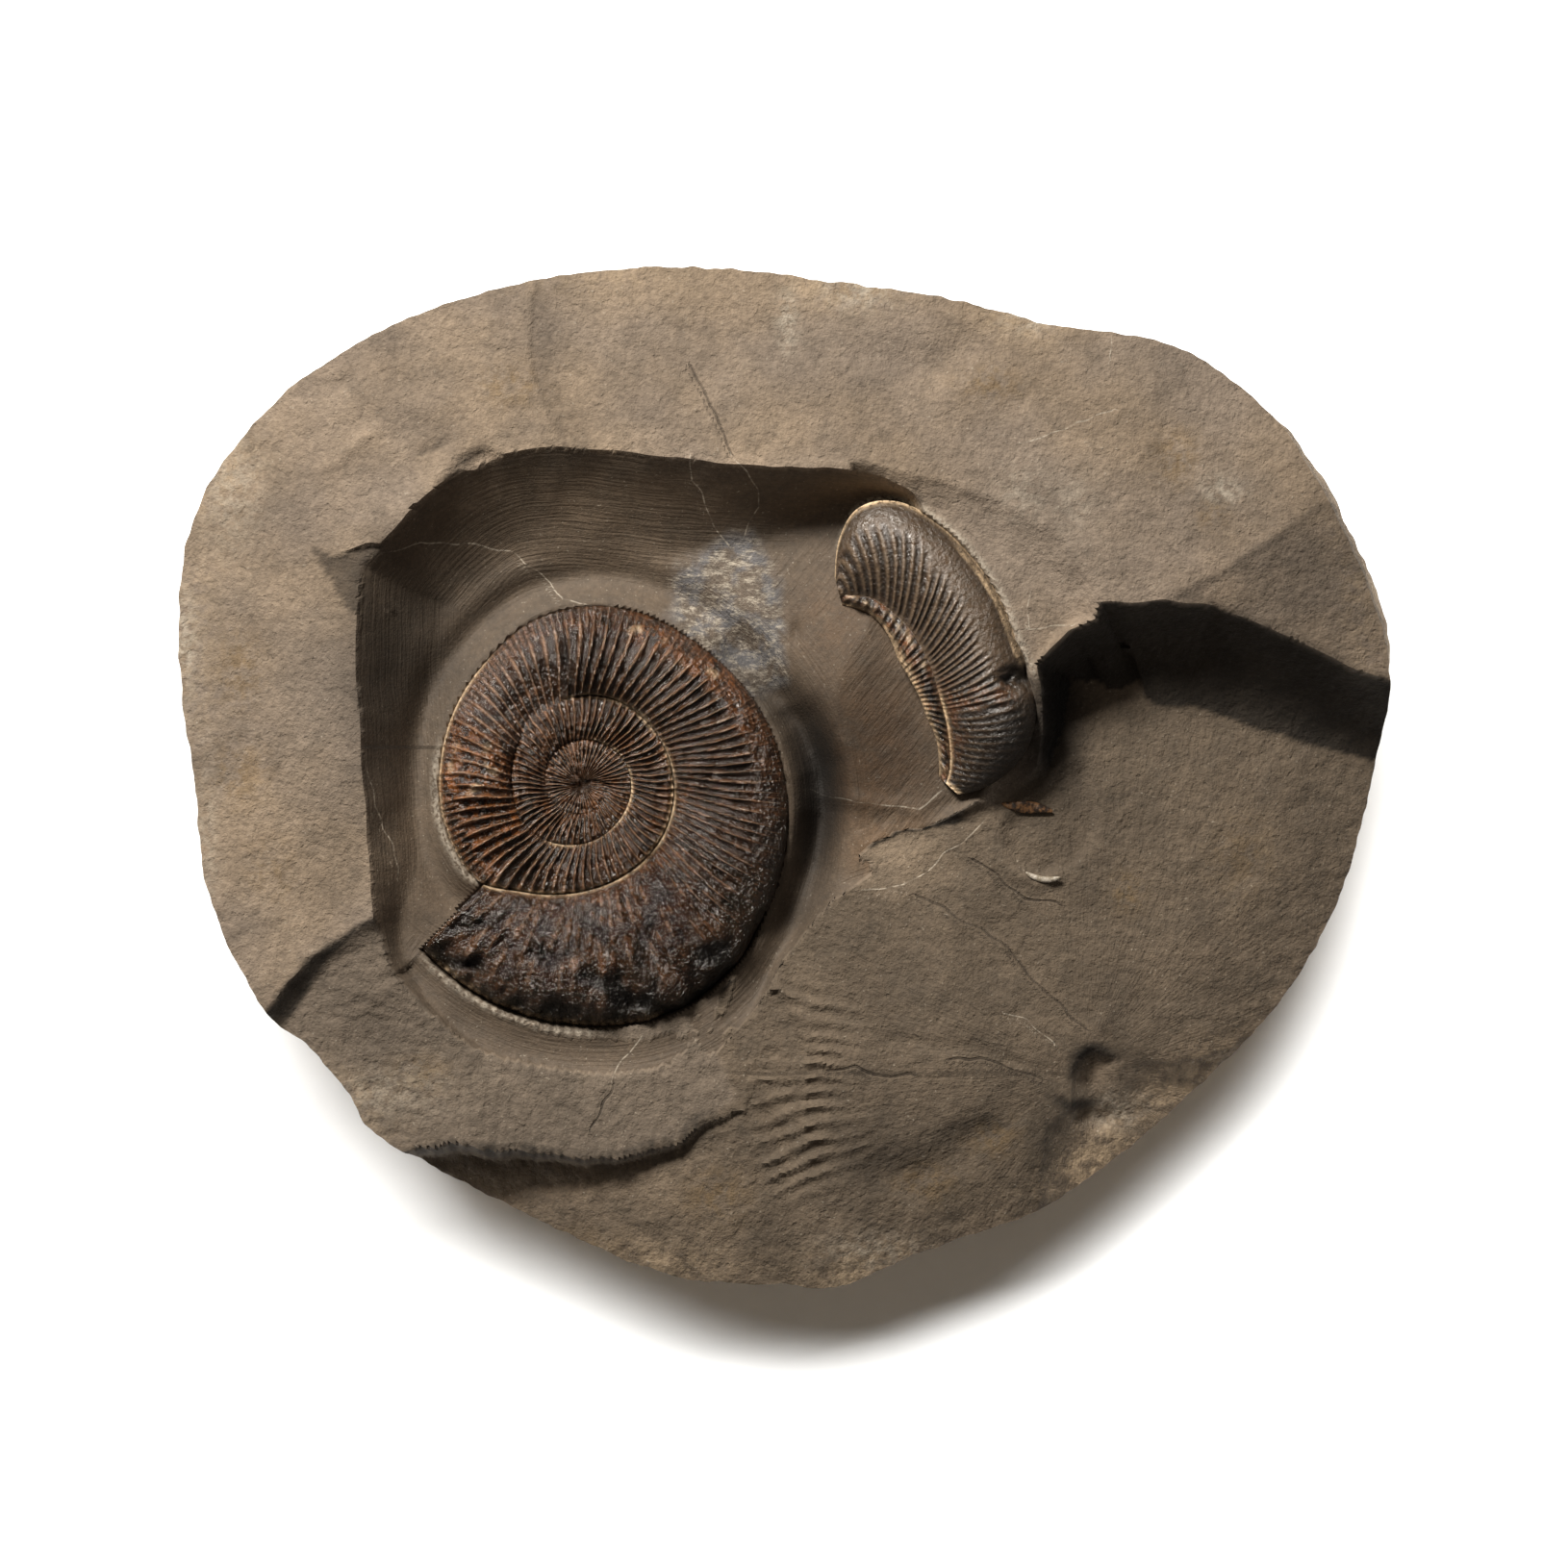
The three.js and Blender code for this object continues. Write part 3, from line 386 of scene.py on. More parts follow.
@dataclass(frozen=True)
class StonePlan:
    """The stone's outline, heights and broken faces."""

    length: float = 189.5
    width: float = 160.0
    rim_height: float = 50.6
    rim_fall: float = 3.2
    left_tilt: float = 0.09
    left_tilt_from: float = -62.0
    basin_floor: float = 36.0
    terrace_height: float = 37.0
    terrace_slope: float = 0.05
    fracture_height: float = 37.3
    fracture_top: tuple[float, float] = (20.0, -22.0)
    facet_from: tuple[float, float] = (59.3, 27.9)
    facet_towards: tuple[float, float] = (0.509, -0.861)
    facet_slope: float = 0.2
    chip_from: tuple[float, float] = (-74.8, 37.5)
    chip_towards: tuple[float, float] = (0.848, 0.532)
    chip_slope: float = 0.11
    notch_depth: float = 1.3
    bevel_depth: float = 2.2
    imprint_depth: float = 0.9
    bite_depth: float = 2.6
    bite_at: tuple[float, float] = (47.0, -46.0)
    moat_depth: float = 2.2
    socket_depth: float = 3.2
    bead_radius: float = 37.0
    bead_spacing: float = 1.65
    trough: Path = ((-8, 19), (-4.1, 13.8), (2.3, 8.3), (5.6, 1.8), (6.5, -4.8), (4.5, -13), (0, -21))
    outline: Path = (
        (92.1, 0), (94.3, 20), (88.2, 39.3), (77, 56), (60.6, 67.3), (41, 70.9), (24.4, 75.2),
        (8.1, 77.5), (-8.4, 79.6), (-25.9, 79.6), (-44.3, 76.7), (-63, 70), (-80.3, 58.3),
        (-92.4, 41.2), (-94.9, 20.2), (-92.6, 0), (-90, -19.1), (-81.7, -36.4), (-74.1, -42.8),
        (-68.5, -49.8), (-63.2, -56.9), (-47.5, -65.4), (-32.4, -72.8), (-16.8, -78.8), (0, -80),
        (8.4, -80.2), (24, -73.8), (39.5, -68.4), (53.2, -59.1), (65.9, -47.8), (78.2, -34.8),
        (87.2, -18.5),
    )
    basin: Path = (
        (-65.9, 31.5, 14), (-66.4, 16.5, 11), (-65.5, 1.5, 9), (-64.4, -13.5, 7),
        (-63.8, -22.5, 4), (-62, -30, 3), (-57, -36, 2), (-48.7, -43.3, 1.5),
        (-40.5, -46, 1.5), (-31, -47.6, 1.5), (-20.2, -47.2, 1.5), (-10.5, -44.8, 2),
        (-3.7, -39.5, 3), (2.3, -30, 4), (9.8, -22.5, 5), (21.8, -17.3, 6), (27.8, -10.5, 6),
        (36.8, 1.5, 4), (37, 10, 3), (36, 18, 2.5), (33.5, 24, 2.5), (31, 30, 2.5),
        (26.5, 35.5, 2.5), (22.5, 40.5, 2.5), (19, 45.3, 2.5), (9.8, 48, 5), (-2.2, 48.5, 11),
        (-17.2, 49.8, 15), (-34.4, 51.5, 17), (-47.2, 49.5, 16), (-56.2, 43.5, 15),
        (-64.4, 34.5, 14),
    )
    fracture: Path = (
        (105, 11, 12), (94.3, 15.3, 12.5), (87.4, 17.9, 13.5), (81.1, 20.7, 14.5),
        (74.9, 23.6, 15.3), (66.7, 26.9, 16), (59.3, 27.8, 17), (48.8, 27.3, 14),
        (48.2, 24.9, 12), (44.2, 23.3, 10), (39.4, 17.9, 6), (40.3, 10, 4), (39.4, 2, 2),
        (34.5, -3.3, 2), (27, -4, 3), (17, -5, 3.5), (8, -10, 3.5), (0, -16, 3.5),
        (-3, -19, 3.5), (-8, -27, 3.5), (-14, -33, 3.5), (-12, -40, 3.5), (-10, -45, 3.5),
        (-8.5, -49.4, 3.5), (-9, -105, 3.5), (105, -105, 3.5),
    )
    collar: Path = (
        (10, 49.5, 2), (23.8, 46.5, 5), (34, 43, 6), (43, 37.5, 6), (48, 31, 5), (48.6, 24.9, 2),
        (44.2, 23.3, 1), (38, 16, 1), (30, 20, 1), (24, 36, 1), (10, 42, 1),
    )
    collar_depth: float = 2.2
    ledge: Path = (
        (-8.5, -49.4), (-12.5, -52.2), (-17.8, -56), (-24.5, -57.6), (-30.5, -58.5),
        (-39.2, -57.6), (-52, -56.9), (-61.4, -57.9), (-80, -62), (-80, -105), (30, -105),
        (30, -60),
    )
    terrace: Path = (
        (-57, -17), (-64.4, -21.8), (-71.2, -26.3), (-77.2, -31.5), (-80.9, -36.8), (-100, -45),
        (-100, -100), (6, -100), (6, -40), (0, -30), (-14, -33), (-32, -34), (-45, -29),
        (-49, -20),
    )
    facet: Path = (
        (59.3, 27.9), (66.7, 26.5), (74.9, 23), (81.1, 20), (87.4, 17), (94.3, 14.5), (105, 11),
        (105, 46), (82.6, 42.8), (77, 38.4), (68.3, 33),
    )
    chip: Path = ((-74.8, 37.5), (-67.4, 25.4), (-60, 26), (-58, 36), (-64.4, 36.7), (-69.8, 34.8))
    notch: Path = ((-51, 46), (-49, 49.3), (-46.8, 51), (-44, 50.6), (-42.5, 48), (-46, 44))
    bevel: Path = (
        (44.5, -52), (40.6, -54.5), (39.8, -66), (38, -78), (60, -78), (82, -56), (98, -32),
        (84, -33), (74.3, -39.8), (66.8, -43.5), (51.8, -45),
    )
    bite: Path = ((44.3, -46), (46, -54), (50, -56), (53, -51), (52, -44), (48, -41.5))
    imprint: Path = (
        (33.5, -7), (36.5, -4.2), (41, -0.5), (43.5, 2.2), (47, 2), (49.3, -4), (49, -10),
        (45, -14.5), (39, -16), (34, -11),
    )
    side: Path = ((0, 0.6), (2.6, 0.78), (8, 0.9), (15, 0.965), (23, 0.995), (32, 1), (60, 1))

    def edge_radius(self) -> Callable[[Array], Array]:
        """Radius of the outline by angle, once it is fitted to the stone's length and width."""
        loop = np.array(smooth_loop(self.outline, 12))
        low, high = loop.min(axis=0), loop.max(axis=0)
        loop = (loop - (low + high) / 2) / (high - low) * (self.length, self.width)
        angles = np.arctan2(loop[:, 1], loop[:, 0])
        order = np.argsort(angles)
        reach = np.hypot(loop[:, 0], loop[:, 1])[order]
        return lambda angle: np.interp(angle, angles[order], reach, period=2 * math.pi)


# Two lines that are both seen and felt: a vein of the saddle, and the longest crack of the break
SADDLE_VEIN = ((4.4, -2), (14.1, -4), (21, -4.7), (25.1, -2))
LONG_CRACK = ((20.3, -17.9), (29.5, -22.7), (35.2, -26.4), (38.6, -31.2), (41.5, -34.1), (47.2, -38.9))
# Ridges, grooves and steps on the stone, each by its corners in millimetres
RIM_STROKES = (
    Stroke(((-56.6, 50.4), (-54.5, 51.4), (-52.3, 52.5)), 0.6, -0.35),
    Stroke(((-69.5, 61), (-68.1, 61.8), (-67, 63.5)), 1.0, -0.6),
    Stroke(((-53, 45.3), (-50.5, 48), (-49.3, 49.5), (-45.8, 51)), 0.9, -0.8),
    Stroke(((-67, 36), (-60, 40.5), (-54, 46.5), (-48, 50.5)), 2.6, 0.7),
    Stroke(((-71.5, 48), (-65.5, 52.5), (-60, 56.3)), 1.0, 0.45),
    Stroke(((14, 66), (22, 64), (30, 67.5), (36, 66)), 3.0, -0.8),
    Stroke(((-20, 68), (-2, 69.5), (16, 68)), 5.0, -0.5),
    Stroke(((-76, 57), (-60, 58.5), (-42, 56)), 2.2, 0.25),
)
BASIN_STROKES = (
    Stroke(((8.6, -17.1), (12.7, -17.9), (18.2, -16.5), (22.4, -13), (23, -8.1), (20.9, -5.4)), 0.9, 0.5),
    Stroke(SADDLE_VEIN, 1.2, 0.5),
    Stroke(((-5, 7), (-2, 10.5), (2, 12)), 1.4, 0.5),
    Stroke(((33, 7.5), (33, 5), (33.4, 3)), 0.6, -0.7),
    Stroke(((2, 24.5), (1.8, 21.5)), 0.7, -0.7),
)
BROKEN_STROKES = (
    Stroke(((44, -13), (41, -16.5), (35, -14.5), (31.5, -9.5)), 0.9, 0.5),
    Stroke(((51.5, -40.5), (54, -44.5), (57.5, -45.5)), 1.6, -1.0),
    Stroke(((44.8, -52.2), (50, -53.5), (54.5, -52.8)), 1.6, -1.2),
    Stroke(((29, -41.8), (36.5, -44.5), (42.5, -46)), 0.8, -0.5),
    Stroke(((14, -40), (22, -41.6), (29, -41.8)), 1.0, -0.4),
    Stroke(((8, -60), (20, -62), (28, -58), (36, -52)), 3.4, -0.9),
    Stroke(((-4, -50), (-1, -55), (1, -60)), 1.2, -0.7),
)
RIM_FOLD = Step(((-34.4, 51.5), (-38.2, 61.5), (-39.5, 66), (-38.9, 76)), 0.5, 12.0)
STEPS = (
    RIM_FOLD,
    Step(((48, -39.5), *reversed(LONG_CRACK)), 0.7, 9.0),
    Step(((45, -42), (36, -34.5), (26, -30)), 0.25, 6.0),
)
# Hairlines: pale ones are calcite, dark ones are open cracks
VEINS = (
    ((-8.2, 50.4), (-4.3, 45.3), (-3.8, 42.4), (-6.4, 38.1)),
    ((-14.3, 50.4), (-14.6, 46.8), (-11.8, 42.4), (-10.7, 39.6), (-8.6, 36.7)),
    (
        (-63, 34.5), (-56.6, 36.7), (-49.4, 36.7), (-43, 35.7), (-39.4, 33.1), (-36.5, 31),
        (-34.7, 28), (-30.8, 27.4),
    ),
    ((-64.6, 0.9), (-63.1, -5), (-61, -10.6), (-60.5, -15)),
    ((-22, -39.8), (-25, -43.5), (-26.5, -46.5)),
    ((36.1, 22.8), (44.3, 24.2)),
    ((38.2, 28.4), (37.9, 23.6)),
    ((12.7, -17.4), (18.6, -16.8), (23.8, -13), (31.3, -6.8)),
    SADDLE_VEIN,
    ((36.8, 51.8), (43, 54.2), (50.6, 57.3)),
    ((50.4, 65), (50.6, 68)),
    ((34.6, -36.7), (38, -37.6), (42.3, -41.4)),
)
CRACKS = (
    ((-14.3, 64), (-10.7, 56.9), (-8.2, 50.7)),
    ((29.6, -12.5), (33.5, -15.5), (37, -18.5), (42.9, -19.5)),
    ((25.7, -43.9), (30.5, -43.6), (35.7, -45.3), (40.1, -46.7)),
    ((6.8, -45.6), (11, -45.2), (15.2, -46.7), (20.1, -46.1)),
    LONG_CRACK,
    ((-26.5, -47.5), (-30, -54.5)),
)
OCHRE_SPOTS = spots(
    (-84.6, 17, 3.5, 6), (-84.6, 1, 4.5, 5), (-79.6, -14, 4, 5, 0.7), (-42.2, 61, 5, 3),
    (32, 61.5, 5, 3), (61, 50, 3.5, 4.5), (66.5, 41, 2.5, 2.5), (53.8, -17.6, 2.5, 3),
    (33, -56, 4, 3), (22.3, -63, 5, 3), (-10.7, -65, 5, 4, 0.8), (-56.6, -46, 5, 3, 0.7),
    (72, -12, 5, 6, 0.5), (-33, -74, 6, 3, 0.7),
)
# Patches of painted light and painted shade on walls, hollows and the trough, and of the stone's own tone:
# lighter, or darker where the strength is negative. The shade is e to it.
LIGHT_SHADE_AND_TONE_SPOTS = spots(
    (17, -11.5, 8, 6, 0.75), (13, 5, 9, 11, -0.57), (5.3, -1, 3.2, 11, -1.3),
    (-62, 18, 6, 16, -0.8), (-26, 44, 24, 7, 0.75), (-55, 23, 7, 9, -0.35), (41, 11, 4.5, 6, -1.2),
    (39.5, 3, 4, 5, -0.9), (-60, -8, 4, 9, 0.3), (-10, 26, 9, 8, 0.3), (-26, 33, 12, 4, 0.25),
    (43, 9, 4, 9, -0.9), (-38, -64, 22, 4, 0.55), (20, -59, 16, 9, -0.3), (84, 34, 12, 12, -0.45),
    (-26, -43.5, 16, 4, 0.2), (46, -8, 9, 11, -0.3), (-8, 53, 60, 4, -0.08), (49, -47, 4, 2.6, 0.5),
    (60, -57, 14, 5, 0.25), (10, 66, 40, 8, -0.12), (-80, -14, 8, 14, 0.12), (5.3, -1, 3, 9, -0.25),
    (-60, 43, 9, 3, 0.14), (-40, -48, 24, 7, 0.12), (56, -20, 26, 20, 0.08),
    (-20, -70, 20, 6, 0.12),
)
# Painted shadow in dark hollows and grooves, and painted light on a lit lip, as strokes whose height is a
# strength like that of the patches above
PAINTED_SHADOW_AND_LIGHT_STROKES = (
    Stroke(((44.6, -46.5), (45.8, -43.6), (48.6, -41.8), (52.3, -43.4)), 0.8, -1.7),
    Stroke(((41.5, -49.5), (44.5, -51), (50, -50.6)), 0.7, -1.7),
    Stroke(((-71, 36.2), (-69.6, 35.5), (-67, 36.1), (-64.5, 37.5)), 0.8, 0.3),
    Stroke(((41.5, -52.5), (40.5, -58), (39.3, -66)), 2.4, -0.7),
    Stroke(((-57.5, 50), (-54.5, 51.2), (-52, 52.7)), 0.45, -0.7),
    Stroke(((-52.5, 46), (-50.2, 48.5), (-49, 50), (-46, 51.3)), 0.45, -1.0),
    Stroke(((25.5, -55), (30, -53.4), (35, -54.3)), 1.2, -0.8),
    Stroke(((8, -62.5), (16, -60), (24, -57)), 2.2, -0.35),
)
WEATHERED_SPOTS = spots(
    (50, -60, 16, 9), (64, -48, 10, 9), (12, -77, 12, 5, 0.9), (-20, -76, 14, 5, 0.7),
    (-90, 20, 8, 16, 0.6), (-86, 45, 10, 10, 0.6), (10, 77, 10, 5, 0.9), (38, 71, 9, 4, 0.8),
    (-30, 78, 20, 4, 0.5), (90, 30, 7, 20, 0.7), (-70, -52, 12, 8, 0.5),
)
WARM_SPOTS = spots(
    (13, 4, 9, 13), (17, -10, 8, 6, 0.7), (9, 24, 8, 8, 0.5),
)
PALE_SPOTS = spots(
    (68, 44.8, 3, 2), (37, 44.5, 4, 4, 0.5), (45, 43, 3, 5, 0.4), (0.5, 71, 1.6, 4.5),
    (11.5, 76, 5, 3, 0.9), (38, 71.5, 4, 2, 0.9), (-86, 45, 5, 9, 0.5), (-94, 20, 2.5, 9),
    (-90, -10, 2, 16, 0.4), (52, -52, 5, 3, 0.5), (-62, -49, 8, 4, 0.4), (15, -74, 8, 3, 0.5),
)


@dataclass
class Surface:
    """The stone's top at each vertex: its height, and the values that the finish reads."""

    z: Array
    layers: dict[str, Array]


def spots_at(x: Array, y: Array, spots: tuple[Spot, ...]) -> Array:
    """Strength of soft patches at each point."""
    found = np.zeros(x.shape)
    for spot in spots:
        found = np.maximum(found, spot.felt(x, y))
    return found


def hairlines_at(x: Array, y: Array, paths: tuple[Path, ...], reach: float) -> tuple[Array, Array]:
    """Offset from the nearest hairline.

    Args:
        x: first coordinate of each point.
        y: second coordinate of each point.
        paths: the hairlines.
        reach: distance at which a hairline stops counting.

    Returns:
        The signed offset, held within the reach, and a strength that is 1 on a line and 0 at the reach.
    """
    nearest = np.full(x.shape, reach)
    offset = np.full(x.shape, reach)
    wander_x = x + 0.5 * noise(x, y, 3.1, 5)
    wander_y = y + 0.5 * noise(x, y, 3.3, 6)
    for path in paths:
        distance, signed, _ = path_offset(wander_x, wander_y, path)
        closer = distance < nearest
        nearest = np.where(closer, distance, nearest)
        offset = np.where(closer, signed, offset)
    return offset, 1 - nearest / reach


@dataclass
class Relief:
    """Heights and surface layers of the split face."""

    plan: StonePlan

    def __post_init__(self) -> None:
        """Works out the outline and the faces that are cut into the split face."""
        plan = self.plan
        self.edge = plan.edge_radius()
        self.basin_loop = smooth_loop(plan.basin, 4)
        self.cuts = {
            "terrace": Cut(plan.terrace, 3.0, self.terrace),
            "ledge": Cut(plan.ledge, 2.2, self.fracture, 0.7),
            "collar": Cut(plan.collar, 6.0, lambda x, y: self.rim(x, y) - plan.collar_depth, 0.2),
            "fracture": Cut(plan.fracture, 3.5, self.fracture, 0.35, bend=2.2),
            "facet": Cut(plan.facet, 0.3, self.facet, 0.4),
            "chip": Cut(plan.chip, 0.5, self.chip, 0.25),
            "notch": Cut(plan.notch, 1.2, lambda x, y: self.rim(x, y) - plan.notch_depth, 0.5),
            "bevel": Cut(plan.bevel, 5.0, self.below_fracture(plan.bevel_depth), 0.6, from_rim=False),
            "bite": Cut(plan.bite, 3.2, self.below_fracture(plan.bite_depth), 0.8, from_rim=False),
            "imprint": Cut(plan.imprint, 1.6, self.below_fracture(plan.imprint_depth), 0.6, from_rim=False),
        }

    def below_fracture(self, depth: float) -> Callable[[Array, Array], Array]:
        """Height of a floor that lies a depth below the broken face."""
        return lambda x, y: self.fracture(x, y) - depth

    def share(self, x: Array, y: Array) -> Array:
        """Share of the way from the middle to the outline."""
        return np.hypot(x, y) / self.edge(np.arctan2(y, x))

    def rim(self, x: Array, y: Array) -> Array:
        """Height of the untouched split face."""
        plan = self.plan
        tilt = plan.left_tilt * np.maximum(0, plan.left_tilt_from - x)
        sags = 4 * np.exp(-((x + 66) ** 2 / 260 + (y + 20) ** 2 / 420))
        sags = sags + 9.5 * np.exp(-((x - 35) ** 2 / 144 + (y + 2) ** 2 / 225))
        return plan.rim_height - plan.rim_fall * np.minimum(1, self.share(x, y)) ** 2 - tilt - sags

    def fracture(self, x: Array, y: Array) -> Array:
        """Height of the broken face at the lower right and below the ledge."""
        plan = self.plan
        dx, dy = x - plan.fracture_top[0], y - plan.fracture_top[1]
        roll = 3.5 * np.minimum(1.1, self.share(x, y)) ** 7
        swell = 1.6 * np.exp(-((x - 38) ** 2 + (y + 3) ** 2) / 160)
        return plan.fracture_height - 0.03 * dx - 0.0009 * dx * dx - 0.0007 * dy * dy - roll + swell

    def terrace(self, x: Array, y: Array) -> Array:
        """Height of the rough terrace below the basin."""
        swell = 2.5 * np.exp(-((x + 62) ** 2 + (y + 24) ** 2) / 200)
        return self.plan.terrace_height - self.plan.terrace_slope * x + swell

    def sloping(self, x: Array, y: Array, start: tuple, towards: tuple, slope: float) -> Array:
        """Height of a face that leaves the rim at a line and falls away from it."""
        gone = (x - start[0]) * towards[0] + (y - start[1]) * towards[1]
        return self.rim(x, y) - slope * np.maximum(0, gone)

    def facet(self, x: Array, y: Array) -> Array:
        """Height of the sloping facet above the broken wall."""
        return self.sloping(x, y, self.plan.facet_from, self.plan.facet_towards, self.plan.facet_slope)

    def chip(self, x: Array, y: Array) -> Array:
        """Height of the three-cornered chip at the left of the basin."""
        return self.sloping(x, y, self.plan.chip_from, self.plan.chip_towards, self.plan.chip_slope)

    def basin(self, x: Array, y: Array) -> Array:
        """Height of the worked floor round both shells."""
        beyond = COIL.beyond(x, y)
        mound = 9 * np.exp(-((x - 24) ** 2 + (y - 16) ** 2) / (2 * 16**2))
        trough = 4.6 * self.trough(x, y)
        low_left = 2.5 * np.exp(-((x + 62) ** 2 / 90 + (y + 16) ** 2 / 150))
        south = fading(-36, -22, y) * fading(-14, 6, x)
        moat = self.plan.moat_depth * bump(beyond, 4.6, 2.6) * (1 - 0.75 * south)
        bank = 0.5 * bump(beyond, 0.6, 1.2) + 0.45 * self.fringe(x, y, beyond)
        return self.plan.basin_floor + mound - trough - moat + bank + low_left + 2.3 * south

    def trough(self, x: Array, y: Array) -> Array:
        """1 along the bottom of the trough between the shells, 0 away from it."""
        distance, _, along = path_offset(x, y, self.plan.trough)
        return bump(distance, 0, 3.4) * np.sin(math.pi * np.clip(along, 0.08, 0.92)) ** 0.5

    def wall(self, base: Array, floor: Array, inside: Array, width: Array, bend: float = 1.6) -> Array:
        """Height of a face whose wall falls from base at its edge to its floor."""
        t = held(inside / width)
        share = 0.8 * (1 - t) ** bend + 0.2 * (1 - t)
        return np.where(inside > 0, floor + (base - floor) * share, base)

    def wobbled(self, x: Array, y: Array, amount: float) -> tuple[Array, Array]:
        """Points moved a little, so that an edge through them looks broken."""
        wx = x + amount * (noise(x, y, 6.3, 11) + 0.3 * noise(x, y, 2.7, 12))
        wy = y + amount * (noise(x, y, 6.1, 13) + 0.3 * noise(x, y, 2.9, 14))
        return wx, wy

    def edge_distance(self, name: str, x: Array, y: Array) -> tuple[Array, Array]:
        """Distance inside a named face, and its wall's width there."""
        if name == "basin":
            return inside_distance(*self.wobbled(x, y, 0.25), self.basin_loop)
        cut = self.cuts[name]
        distance, width = inside_distance(*self.wobbled(x, y, cut.wobble), cut.outline)
        return distance, width if len(cut.outline[0]) > 2 else np.full(x.shape, cut.wall)

    def snapped(self, x: Array, y: Array, spacing: float) -> tuple[Array, Array]:
        """Moves the points that nearly touch a sharp edge onto it.

        Args:
            x: first coordinate of each point.
            y: second coordinate of each point.
            spacing: distance between neighbouring points.

        Returns:
            The points' new coordinates.
        """
        x, y = x.copy(), y.copy()
        for name in ("basin", "terrace", "ledge", "facet", "chip", "fracture"):
            distance, _ = self.edge_distance(name, x, y)
            near = np.flatnonzero((np.abs(distance) < 0.5 * spacing) & (self.share(x, y) < NEAR_EDGE))
            px, py, d = x[near], y[near], distance[near]
            step = 0.05
            slope_x = (self.edge_distance(name, px + step, py)[0] - d) / step
            slope_y = (self.edge_distance(name, px, py + step)[0] - d) / step
            steep = np.maximum(slope_x**2 + slope_y**2, 0.3)
            x[near] = px - d * slope_x / steep
            y[near] = py - d * slope_y / steep
        return x, y

    def surface(self, x: Array, y: Array) -> Surface:
        """Height and layers of the split face at each point."""
        rim = self.rim(x, y) + self.split_grain(x, y)
        z = rim.copy()
        distances: dict[str, Array] = {}
        for name, cut in self.cuts.items():
            distance, width = self.edge_distance(name, x, y)
            distances[name] = distance
            floor = cut.floor(x, y) + self.break_grain(name, x, y)
            base = rim if cut.from_rim else z
            if name == "fracture":
                base = np.minimum(rim, self.facet(x, y))
            face = self.wall(base, floor, distance, width, cut.bend)
            if name == "fracture":
                # Painted shade on the tall wall of the break
                wall_shade = between(0.01, 0.98, distance / width, 0.015) * rise(5, 7, z - floor)
            z = np.minimum(z, face)
        inside, width = self.edge_distance("basin", x, y)
        width = np.maximum(2, width)
        distances["basin"] = inside
        level = self.fracture(x, y) + 0.3 + 0.22 * np.maximum(0, -distances["fracture"])
        floor = np.minimum(self.basin(x, y), level)
        worked = self.wall(rim, floor, inside, width)
        in_basin = (inside > 0) & (worked < z)
        z = np.where(in_basin, worked, z)
        worked_share = np.where(in_basin, rise(-0.2, 0.5, inside), 0.0)
        z = z + self.tool_marks(x, y, inside, width) * worked_share
        z = z + self.details(x, y, worked_share, distances)
        z = self.sockets(x, y, z)
        layers = self.layers(x, y, z, worked_share, distances, width)
        split = (1 - worked_share) * (distances["fracture"] < 0.3)
        # Painted shade on the sloping facet and the chip, and a painted dark line just inside the facet's
        # edge
        facet_and_chip_shade = 0.13 * rise(0, 0.4, distances["facet"]) + 0.6 * rise(0, 0.4, distances["chip"])
        facet_and_chip_shade = facet_and_chip_shade + 0.25 * between(0, 1.6, distances["facet"], 0.3)
        painted_light_and_tone = self.painted_light_and_tone(x, y, worked_share) * (1 - 0.8 * wall_shade * (1 - worked_share))
        under_edge_shade = np.where(worked_share > 0.5, 1, self.under_edges(x, y, distances))
        layers["painted_light_and_tone"] = painted_light_and_tone * (1 - facet_and_chip_shade * split) * under_edge_shade
        return Surface(z, layers)

    def painted_light_and_tone(self, x: Array, y: Array, worked: Array) -> Array:
        """Painted light and shade, with the stone's own lighter and darker tone, as a factor that is 1 where
        it has its usual colour.
        """
        # Painted shadow along the trough between the shells
        power = -1.0 * self.trough(x, y) * worked
        for spot in LIGHT_SHADE_AND_TONE_SPOTS:
            power = power + spot.felt(x, y)
        wx, wy = self.wobbled(x, y, 0.3)
        for stroke in PAINTED_SHADOW_AND_LIGHT_STROKES:
            power = power + stroke.height * stroke.share(wx, wy, trim=0.05, taper=0.6)
        # Painted shade on the lower side of the fold in the rim
        distance, signed, _ = path_offset(wx, wy, RIM_FOLD.path)
        lower_side = rise(-0.15, 0.15, -signed)
        power = power - 0.26 * lower_side * np.exp(-distance / (0.5 * RIM_FOLD.fade))
        return np.exp(power)

    def under_edges(self, x: Array, y: Array, distances: dict[str, Array]) -> Array:
        """Painted shade on the low walls under the ledge and in the crevice at the left."""
        strokes = 0.7 + 0.5 * noise(x, y * 0.12, 0.9, 34)
        below = distances["ledge"]
        ledge = between(-0.2, 1.7, below, 0.25) + 0.6 * strokes * between(1.2, 4.5, below, 1.6)
        ledge = ledge * between(-62, -11, x, 3) * rise(-66, -60, y)
        crevice = between(-0.1, 0.6 + 2.8 * rise(-66, -78, x), distances["terrace"], 0.3)
        crevice = crevice * fading(-63, -60, x) * rise(-39, -36, y)
        return (1 - 0.62 * np.clip(ledge * strokes, 0, 1.1)) * (1 - 0.7 * crevice)

    def split_grain(self, x: Array, y: Array) -> Array:
        """Gentle waves and small dents of the split face."""
        waves = 0.35 * fractal(x, y, 26, 1, 3)
        slanted = noise(x * 0.8 + y * 0.6, y * 0.8 - x * 0.6, 1.0, 4)
        dents = 0.05 * noise(x, y, 2.6, 2) + 0.045 * slanted
        return waves + dents

